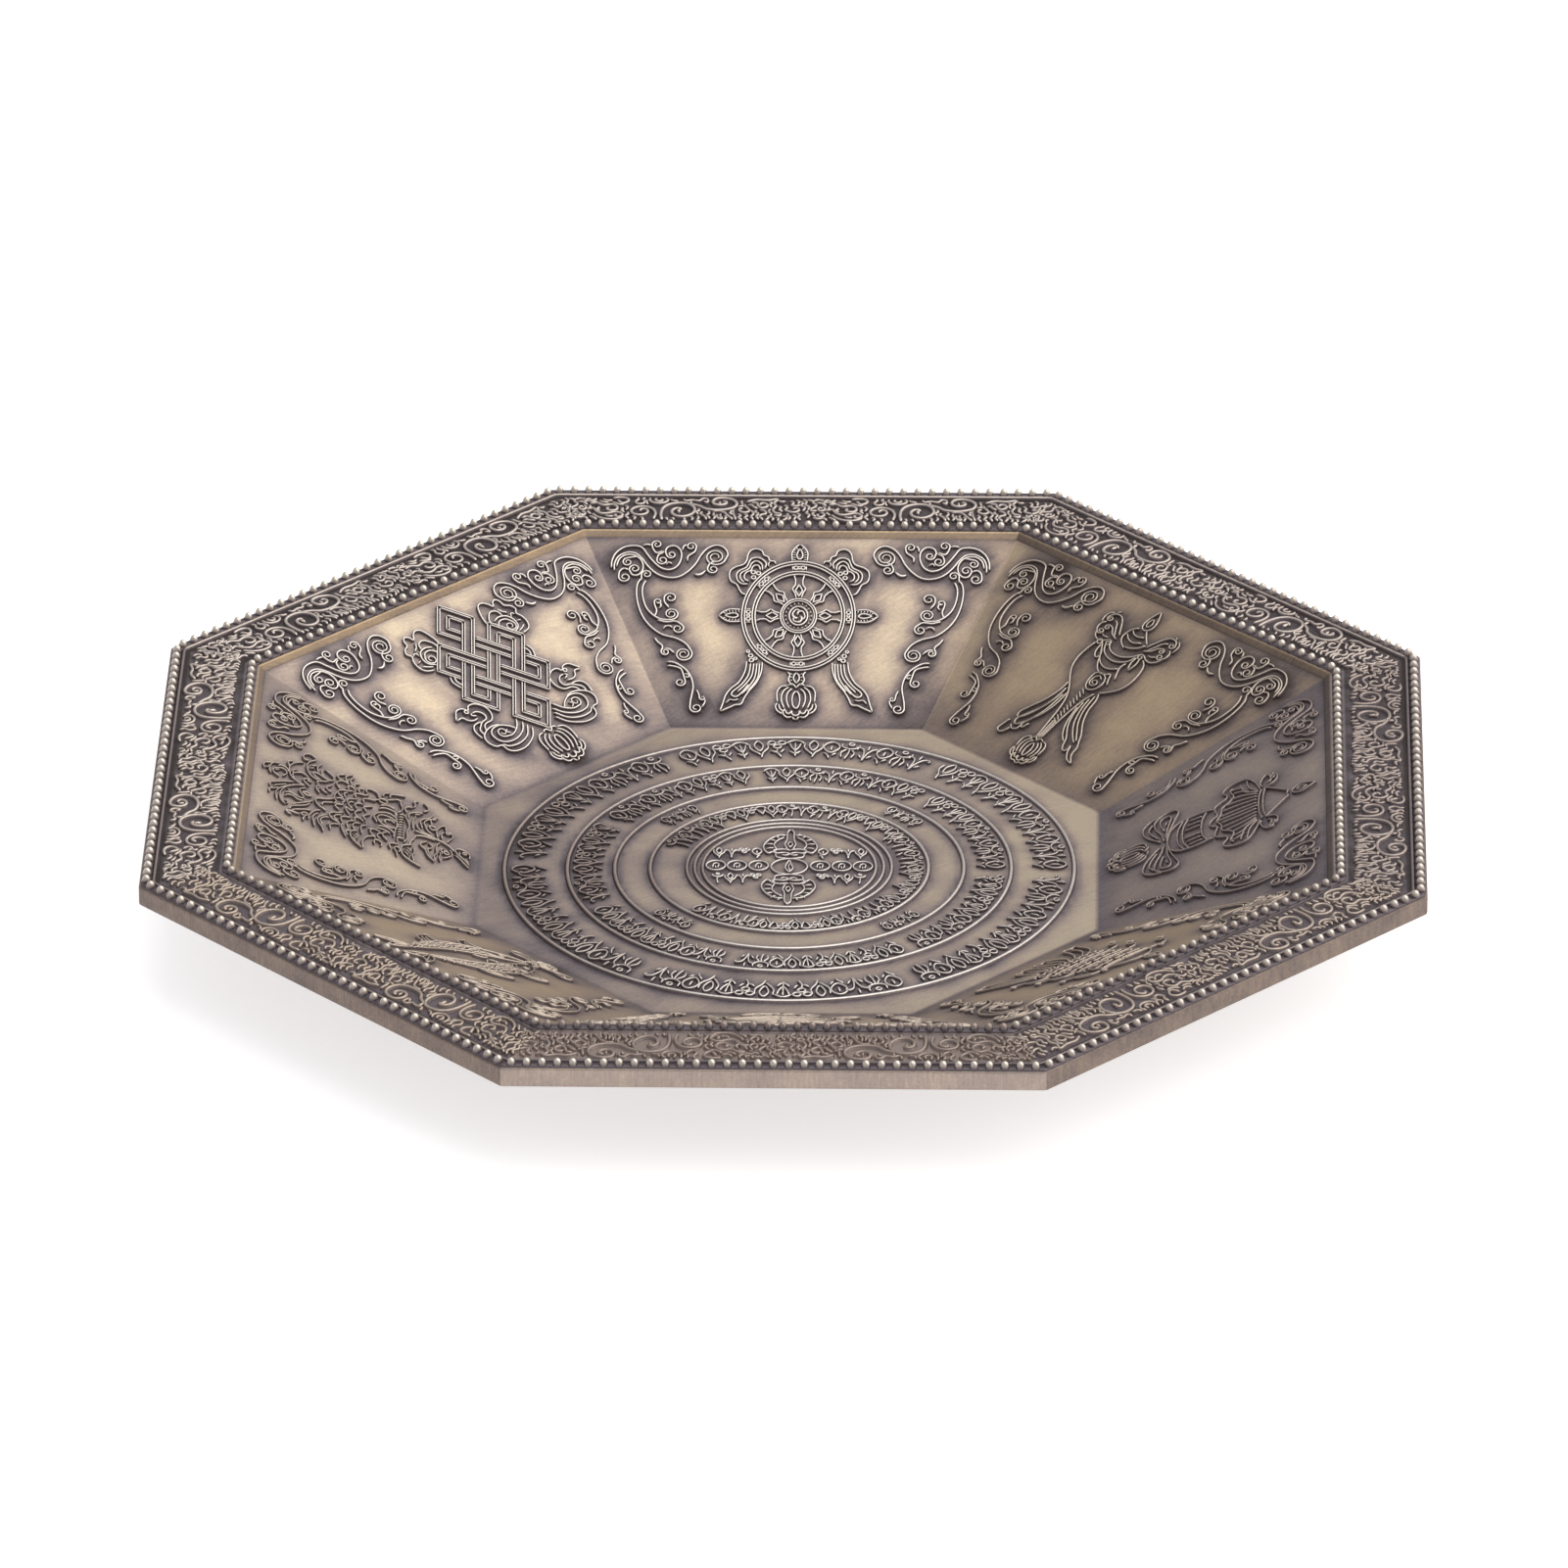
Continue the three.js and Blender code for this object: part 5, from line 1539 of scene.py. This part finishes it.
def marks_round(radius, count, size, start=0.0, end=math.tau, strokes=None, group=8):
    """Marks spaced evenly round a circle from one angle to another, heads outwards; the six
    take turns, every third place is turned over and the place after each group stays empty.
    strokes keeps only the first few of each."""
    marks = tendril_marks()
    drawing = []
    for index in range(count):
        if index % (group + 1) == group:
            continue
        angle = start + (end - start) * (index + 0.5) / count
        x, y = radius * FLOOR_PER_MM * math.cos(angle), -radius * FLOOR_PER_MM * math.sin(angle)
        mark = marks[(index * 2 + index // 7) % len(marks)][:strokes]
        drawing += placed(mark, x, y, 90 - math.degrees(angle), size, -1 if index % 3 == 0 else 1)
    return drawing


# Band, radius of its heads, count, size, first and last angle, strokes of a mark, marks in a
# group, fineness
BANDS = (("outer", 43.6, 90, 1.24, 0.0, math.tau, None, 14, 1.0),
         ("second", 33.9, 84, 1.04, 0.0, math.tau, None, 11, 0.9),
         ("fourth", 21.0, 62, 0.86, math.radians(-136), math.radians(159), 3, 62, 0.8))
BAND_STEP = 0.36
# The bud clusters in four corners of the floor
CLUSTER_RADIUS = 26.3
CLUSTER_MARKS = 4
CLUSTER_SIZE = 0.66
CLUSTER_HALF_ANGLE = 0.15
CLUSTER_FINENESS = 0.75
CLUSTER_HEIGHT = 0.42
for name, radius, count, size, start, end, strokes, group, fineness in BANDS:
    drawing = marks_round(radius, count, size, start, end, strokes, group)
    points, quads, wash = raised(drawing, on_floor, FLOOR_PER_MM, (0, 0), BAND_STEP,
                                 RIDGE_HALF_WIDTH * fineness, FLOOR_RELIEF_HEIGHT)
    relief_pieces.append(solid(f"tendril_band_{name}", points, [quads], floor_bronze, "floor_relief",
                               [f"ornament_band_{name}"], wash=floor_wash(points, wash)))
for side in SIDES[1::2]:
    middle = SIDES.index(side) * SIDE_ANGLE
    cluster = marks_round(CLUSTER_RADIUS, CLUSTER_MARKS, CLUSTER_SIZE,
                          middle + CLUSTER_HALF_ANGLE, middle - CLUSTER_HALF_ANGLE)
    points, quads, wash = raised(cluster, on_floor, FLOOR_PER_MM, (0, 0),
                                 half_width=RIDGE_HALF_WIDTH * CLUSTER_FINENESS,
                                 height=CLUSTER_HEIGHT)
    relief_pieces.append(solid(f"bud_cluster_{side}", points, [quads], floor_bronze, "floor_relief",
                               [f"quarter_motif_{side}"], wash=floor_wash(points, wash)))

# The medallion. An upright double vajra, with a ladder-like cage of prongs at each end and a
# ring in the middle, crosses a row of six small ringed bosses; rows of buds fill the corners.

# The cage's middle, the half axes of its inside and outside, and the turns of its rungs
CAGE_MIDDLE = (0, -78)
CAGE_INSIDE = (28, 36)
CAGE_OUTSIDE = (41, 45)
CAGE_RUNGS = (-38, -17, 4, 25, 46, 66)
BOSS_PLACES = (51, 87, 122)
# Heads of the two rows of buds, where a row starts, and the pitch and size of its buds
BUD_ROWS = (-63, 28)
BUD_START = 55
BUD_PITCH = 21
BUD_SIZE = 0.72
MEDALLION_STEP = 0.25
MEDALLION_FINENESS = 0.85


def cage():
    """Upper half of the vajra, right side, from the ring up to the tip of the middle prong."""
    ladder = []
    for angle in np.radians(CAGE_RUNGS):
        out = np.array([math.cos(angle), -math.sin(angle)])
        ladder.append(fine([CAGE_MIDDLE + out * CAGE_INSIDE, CAGE_MIDDLE + out * CAGE_OUTSIDE]))
    return ladder + [
        ridge([0, -134, 5, -124, 6, -96, 9, -80, 5, -64]),
        ridge([0, -90, 4, -80, 0, -70], width=0.7),
        ridge([8, -113, 22, -111, 36, -96, 44, -76, 43, -60, 36, -48, 29, -54]),
        ridge([10, -106, 22, -93, 27, -78, 23, -62]),
        ridge([0, -60, 14, -62, 27, -58, 24, -48, 10, -50, 0, -46]),
        ridge([24, -48, 22, -34, 12, -30, 0, -28]),
        fine([0, -44, 8, -40, 14, -44]),
    ]


def boss(x):
    """Small ring with a bud inside it."""
    return [oval(x, -3, 16, 17),
            slim([x - 5, 3, x - 4, -7, x + 1, -11, x + 5, -6, x + 3, 4]),
            fine([x - 1, -3, x, 5])]


def medallion_drawing():
    """Vajra, centre ring with its flame drop, bosses and the four rows of buds."""
    upper = both(cage())
    drawing = upper + [dict(stroke, line=stroke["line"] * (1, -1)) for stroke in upper]
    drawing += [oval(0, 0, 30, 28), ridge([0, -22, -5, -8, -6, 6, 0, 18, 6, 6, 3, -8], closed=True),
                fine([0, -12, -1, 2, 1, 12])]
    for x in BOSS_PLACES:
        drawing += boss(x) + boss(-x)
    marks = tendril_marks()
    for row, top in enumerate(BUD_ROWS):
        for index in range(4):
            x = BUD_START + BUD_PITCH * index
            mark = marks[(index + row) % len(marks)][:3]
            drawing += placed(mark, x, top, 0, BUD_SIZE) + placed(mark, -x, top, 0, BUD_SIZE, -1)
    return drawing


points, quads, wash = raised(medallion_drawing(), on_floor, FLOOR_PER_MM, (0, 0), MEDALLION_STEP,
                             RIDGE_HALF_WIDTH * MEDALLION_FINENESS, FLOOR_RELIEF_HEIGHT)
relief_pieces.append(solid("double_vajra_medallion", points, [quads], floor_bronze, "floor_relief",
                           ["medallion_vajra"], wash=wash))

# The patina, with painted shade and painted light. The wash settles round everything that stands
# up, and shade is painted there as well. Seen from above, the tray is laid on a fine grid that
# holds how much relief stands in each cell; blurred narrowly and widely it gives the dark fringe
# round each ridge, partly wash and partly painted shade. Creases, the foot of the walls and the
# rim are darker.

GRID_CELL = 0.4
GRID_HALF = 102.0
MOST_IN_CELL = 3.0
# The dark fringe of the relief, partly wash and partly painted shade, near it and farther off: how
# far it reaches, how dark it is and the most relief that counts
FRINGE_REACHES = (0.55, 2.2)
NEAR_FRINGE = 0.24
NEAR_MOST = 1.4
WIDE_FRINGE = 0.3
WIDE_MOST = 0.8
FRINGE_PATCHINESS = 0.25
PATCH_REACH = 1.8
PATCHINESS = 0.015
PATCH_SEED = 8
# One value for each side, from the right one counter-clockwise: the wash and painted shade of the
# wall, how much darker its foot is, the wash and painted shade of the ledge, of the rim and its
# hollows and of the skirt, and how brassy they are, brass tint with a painted warm reflection
WALL_WASH_AND_SHADE = (0.32, 0.14, 0.0, 0.01, 0.02, 0.08, 0.08, 0.08)
WALL_BRASS_AND_REFLECTION = (0.0, 0.6, 0.15, 0.1, 0.0, 0.4, 0.4, 0.4)
# Share of the fringe round the relief that shows on each wall
WALL_FRINGE = (0.4, 0.9, 1.0, 1.0, 0.75, 0.9, 0.9, 0.9)
FOOT_DARKENING = (0.26, 0.32, 0.46, 0.46, 0.46, 0.46, 0.46, 0.46)
LEDGE_WASH_AND_SHADE = (0.75, 0.6, 0.37, 0.44, 0.46, 0.4, 0.4, 0.4)
LEDGE_BRASS = (0.6, 1.0, 0.8, 1.0, 0.7, 0.6, 0.6, 0.6)
RIM_WASH_AND_SHADE = (0.48, 0.54, 0.54, 0.54, 0.46, 0.4, 0.26, 0.44)
RIM_HOLLOWS_WASH_AND_SHADE = (0.34, 0.36, 0.36, 0.36, 0.36, 0.3, 0.14, 0.3)
SKIRT_WASH_AND_SHADE = (0.5, 0.45, 0.45, 0.45, 0.5, 0.57, 0.34, 0.56)
SKIRT_BRASS_AND_REFLECTION = (0.3, 0.3, 0.3, 0.3, 0.3, 0.6, 0.1, 0.6)
UNDERSIDE_KEEPS = 0.42
# A painted brassy glint along the crease beside the back wall, and how far it reaches
PAINTED_GLINT_BRASS = 0.45
PAINTED_GLINT_REACH = 5.0
# Wash of the floor's middle, how much painted light lightens it to the right and to the back, the
# share of the fringe that shows, and the wash and painted shade close to the relief
FLOOR_KEEPS = 0.08
PAINTED_LIGHT_TO_RIGHT = 0.06
PAINTED_LIGHT_TO_BACK = 0.08
FLOOR_FRINGE = 0.8
FLOOR_CREVICE_WASH_AND_SHADE = 0.09
# How much lighter the floor is above and below the medallion and how far out, the painted light
# on its right, and how much darker the margin along the walls is
MIDDLE_LIGHTENED = 0.2
MIDDLE_RADIUS = 33
RIGHT_PAINTED_LIGHT = 0.08
MARGIN_REACH = 5
BACK_RIGHT_MARGIN = 0.14
RIGHT_MARGIN = 0.04
FRONT_LEFT_MARGIN = 0.12
# Amounts of wash, painted shade and painted light, each with how far it reaches in millimetres:
# painted shade on the floor along the left wall and in the wall creases, painted shadow under the
# ledge and at its foot, wear with a painted highlight on the rim's edge, and wash in the hollows
LEFT_FOOT_PAINTED_SHADE = (0.3, 7)
CREASE_PAINTED_SHADE = (0.1, 5.0)
LEFT_CREASE_PAINTED_SHADE = (0.3, 8.0)
UNDER_LEDGE_PAINTED_SHADOW = (0.5, 0.7)
LEDGE_FOOT_PAINTED_SHADOW = (0.4, 0.12)
EDGE_WEAR_AND_HIGHLIGHT = (0.3, 0.12)
OUTER_HOLLOW = (0.4, 0.35)
INNER_HOLLOW = (0.3, 0.35)
# How far the painted shade at the right end of the back wall and the painted highlight beyond the
# crease reach
PAINTED_SHADE_REACH = 4.5
PAINTED_HIGHLIGHT_REACH = 4.0
FOOT_REACH = 4.5
# Where the two hollows of the rim run, beside the bead rows
OUTER_HOLLOW_APOTHEM = 97.2
INNER_HOLLOW_APOTHEM = 88.0
# How much darker the top corners of a wall are, and how far it reaches down and along
TOP_CORNER_DARKENING = 0.16
TOP_CORNER_REACHES = (9, 16)


def blurred(grid, reach):
    """Gaussian blur by the fast Fourier transform: the spectrum times exp(-2 (pi f reach)^2)."""
    across = np.fft.fftfreq(grid.shape[0], GRID_CELL)[:, None]
    down = np.fft.rfftfreq(grid.shape[1], GRID_CELL)[None, :]
    spectrum = np.fft.rfft2(grid) * np.exp(-2 * (math.pi * reach) ** 2 * (across ** 2 + down ** 2))
    return np.fft.irfft2(spectrum, grid.shape)


def looked_up(grid, xy):
    """The grid's value at each point, mixed from the four nearest cells."""
    place = np.clip((xy + GRID_HALF) / GRID_CELL - 0.5, 0, len(grid) - 1.001)
    corner = place.astype(int)
    (u, v), (i, j) = (place - corner).T, corner.T
    return ((1 - u) * (1 - v) * grid[i, j] + u * (1 - v) * grid[i + 1, j]
            + (1 - u) * v * grid[i, j + 1] + u * v * grid[i + 1, j + 1])


def coordinates(piece):
    """The piece's vertices in millimetres."""
    held = np.empty(len(piece.data.vertices) * 3, np.float32)
    piece.data.vertices.foreach_get("co", held)
    return held.reshape(-1, 3).astype(float) / MM


def fading(amount, reach, distance):
    """An amount of darkening that fades away from a line: the amount times exp(-distance / reach)."""
    return amount * np.exp(-distance / reach)


def streak(amount, reach, distance):
    """An amount along both sides of a line: the amount times exp(-(distance / reach)^2)."""
    return amount * np.exp(-(distance / reach) ** 2)


def places():
    """Where each vertex of the casting lies: its side, its apothem, how far it is from the
    nearest crease and down the wall, how much relief stands near it and farther off, and
    slow random patches."""
    cells = int(2 * GRID_HALF / GRID_CELL)
    relief = np.vstack([coordinates(piece)[:, :2] for piece in relief_pieces])
    cell = np.clip(((relief + GRID_HALF) / GRID_CELL).astype(int), 0, cells - 1)
    held = np.zeros((cells, cells))
    np.add.at(held, tuple(cell.T), 1.0)
    held = np.minimum(held, MOST_IN_CELL)
    near, wide = (looked_up(blurred(held, reach), shell_points[:, :2]) for reach in FRINGE_REACHES)
    cloudy = blurred(np.random.default_rng(PATCH_SEED).random(held.shape) - 0.5, PATCH_REACH)
    patches = looked_up(cloudy / cloudy.std(), shell_points[:, :2])
    x, y, z = shell_points.T
    turned = (np.arctan2(y, x) + SIDE_ANGLE / 2) % SIDE_ANGLE - SIDE_ANGLE / 2
    distance = np.hypot(x, y)
    apothem = distance * np.cos(turned)
    side = ((np.arctan2(y, x) + SIDE_ANGLE / 2) // SIDE_ANGLE).astype(int) % len(SIDES)
    return SimpleNamespace(
        x=x, y=y, z=z, turned=turned, distance=distance, apothem=apothem, side=side,
        to_crease=apothem * HALF_TAN - np.abs(distance * np.sin(turned)),
        down=(WALL_TOP[0] - apothem) / math.cos(WALL_TILT), near=near, patches=patches,
        fringe=(NEAR_FRINGE * np.clip(near, 0, NEAR_MOST)
                + WIDE_FRINGE * np.clip(wide, 0, WIDE_MOST) * (1 + FRINGE_PATCHINESS * patches)))


def wall_patina_and_painted_light(at):
    """Wash, painted shade and painted light of the walls, and their brassiness. Shade is painted at
    both ends of the back wall, on the right more than on the left; the wall on its right has a
    painted highlight and a painted brassy glint along the crease they share. The creases and the
    strip under the ledge get painted shade too."""
    low = at.down / WALL_LENGTH
    left_end = (at.side == SIDES.index("back")) & (at.turned > 0)
    right_end = (at.side == SIDES.index("back")) & (at.turned < 0)
    beyond = (at.side == SIDES.index("back_right")) & (at.turned > 0)
    # Painted shade at the right end of the back wall, and a painted highlight on the wall beyond the
    # crease
    painted_end_shade = 0.18 * np.clip((low - 0.2) / 0.25, 0, 1) + streak(0.2, 0.09, low - 0.87)
    painted_crease_highlight = (0.15 + streak(0.3, 0.2, low)) * np.clip((0.85 - low) / 0.1, 0, 1)
    crease_shade_and_light = fading(*CREASE_PAINTED_SHADE, at.to_crease)
    crease_shade_and_light = np.select([left_end, right_end, beyond],
                       [fading(*LEFT_CREASE_PAINTED_SHADE, at.to_crease),
                        crease_shade_and_light + streak(painted_end_shade, PAINTED_SHADE_REACH, at.to_crease),
                        crease_shade_and_light - streak(painted_crease_highlight, PAINTED_HIGHLIGHT_REACH, at.to_crease)], crease_shade_and_light)
    reach_down, reach_along = TOP_CORNER_REACHES
    top_corners = TOP_CORNER_DARKENING * np.exp(-((at.down / reach_down) ** 2
                                              + (at.to_crease / reach_along) ** 2))
    foot = fading(np.array(FOOT_DARKENING)[at.side], FOOT_REACH, WALL_LENGTH - at.down)
    wash = np.array(WALL_WASH_AND_SHADE)[at.side] + crease_shade_and_light + top_corners + foot + PATCHINESS * at.patches
    wash += np.array(WALL_FRINGE)[at.side] * at.fringe
    # A painted shadow along the top of the wall, under the ledge
    wash += fading(*UNDER_LEDGE_PAINTED_SHADOW, at.down)
    brass = np.array(WALL_BRASS_AND_REFLECTION)[at.side]
    # A painted brassy glint along the crease beside the back wall
    brass += streak(np.where(right_end | beyond, PAINTED_GLINT_BRASS - brass, 0), PAINTED_GLINT_REACH,
                    at.to_crease)
    return wash, brass


def floor_patina_and_painted_light(at):
    """Wash, painted shade and painted light of the floor: painted light towards the back right,
    painted shade towards the front left, lighter above and below the medallion, and darker along
    the foot of the left, back right and front left walls, by painted shade along the left one."""
    # Painted light towards the right and the back, painted shade towards the front left
    wash = (FLOOR_KEEPS - PAINTED_LIGHT_TO_RIGHT * at.x / FLOOR_APOTHEM - PAINTED_LIGHT_TO_BACK * at.y / FLOOR_APOTHEM
            + FLOOR_FRINGE * at.fringe + PATCHINESS * at.patches)
    wash += FLOOR_CREVICE_WASH_AND_SHADE * np.clip(at.near, 0, NEAR_MOST)
    wash -= (MIDDLE_LIGHTENED * np.exp(-(at.distance / MIDDLE_RADIUS) ** 6)
             * (at.y / (at.distance + 1)) ** 2)
    # Painted shade on the floor along the foot of the left wall
    wash += fading(*LEFT_FOOT_PAINTED_SHADE, FLOOR_APOTHEM - at.apothem) * np.clip(-at.x / 40, 0, 1)
    margin = np.exp(-(FLOOR_APOTHEM - at.apothem) / MARGIN_REACH)
    on_right = np.where(at.side == SIDES.index("back_right"), BACK_RIGHT_MARGIN, RIGHT_MARGIN)
    wash += on_right * margin * np.clip(at.x / 20, 0, 1)
    wash += np.where(at.side == SIDES.index("front_left"), FRONT_LEFT_MARGIN, 0.0) * margin
    # Painted light on the right of the floor
    wash -= RIGHT_PAINTED_LIGHT * np.clip(at.x / FLOOR_APOTHEM, 0, 1) ** 2
    return wash


def settled_wash():
    """The wash, painted shade and painted light on the casting, zone by zone, and where it is brassy
    or painted with a warm reflection. The rim's edge above the ledge is rubbed a little brighter
    than both, with a painted highlight."""
    at = places()
    # Wear with a painted highlight along the rim's edge by the ledge
    edge_wear_and_highlight = streak(*EDGE_WEAR_AND_HIGHLIGHT, at.apothem - LEDGE_APOTHEM)
    rim = np.array(RIM_WASH_AND_SHADE)[at.side] + np.array(RIM_HOLLOWS_WASH_AND_SHADE)[at.side] * np.clip(at.near, 0, 1)
    rim += (streak(*OUTER_HOLLOW, at.apothem - OUTER_HOLLOW_APOTHEM)
            + streak(*INNER_HOLLOW, at.apothem - INNER_HOLLOW_APOTHEM))
    rim -= edge_wear_and_highlight
    # The ledge: per-side wash and painted shade, with a painted shadow at its foot
    ledge = (np.array(LEDGE_WASH_AND_SHADE)[at.side] + fading(*LEDGE_FOOT_PAINTED_SHADOW, at.apothem - LEDGE_FOOT[0])
             - edge_wear_and_highlight)
    wall, wall_brass = wall_patina_and_painted_light(at)
    # The skirt: per-side wash and painted shade
    skirt = np.array(SKIRT_WASH_AND_SHADE)[at.side]
    above = at.z > np.interp(at.apothem, [UNDER_FLOOR, UNDER_RIM], [1, 18.6])
    zones = [above & (at.apothem < FLOOR_APOTHEM - 0.5),
             above & (at.apothem < LEDGE_FOOT[0] + 0.05),
             above & (at.apothem < LEDGE_APOTHEM + 0.1),
             (at.z > RIM_Z - 0.05) & (at.apothem > LEDGE_APOTHEM) & (at.apothem < 99.75),
             at.apothem > RIM_APOTHEM - 0.35]
    wash = np.select(zones, [floor_patina_and_painted_light(at), wall, ledge, rim, skirt], UNDERSIDE_KEEPS)
    brassy = [0.0, wall_brass, np.array(LEDGE_BRASS)[at.side], 0.0, np.array(SKIRT_BRASS_AND_REFLECTION)[at.side]]
    return np.clip(wash, 0, 1), np.select(zones, brassy, 0.0)


for attribute, values in zip(("wash", "brass"), settled_wash()):
    shell.data.attributes[attribute].data.foreach_set("value", values.astype(np.float32))
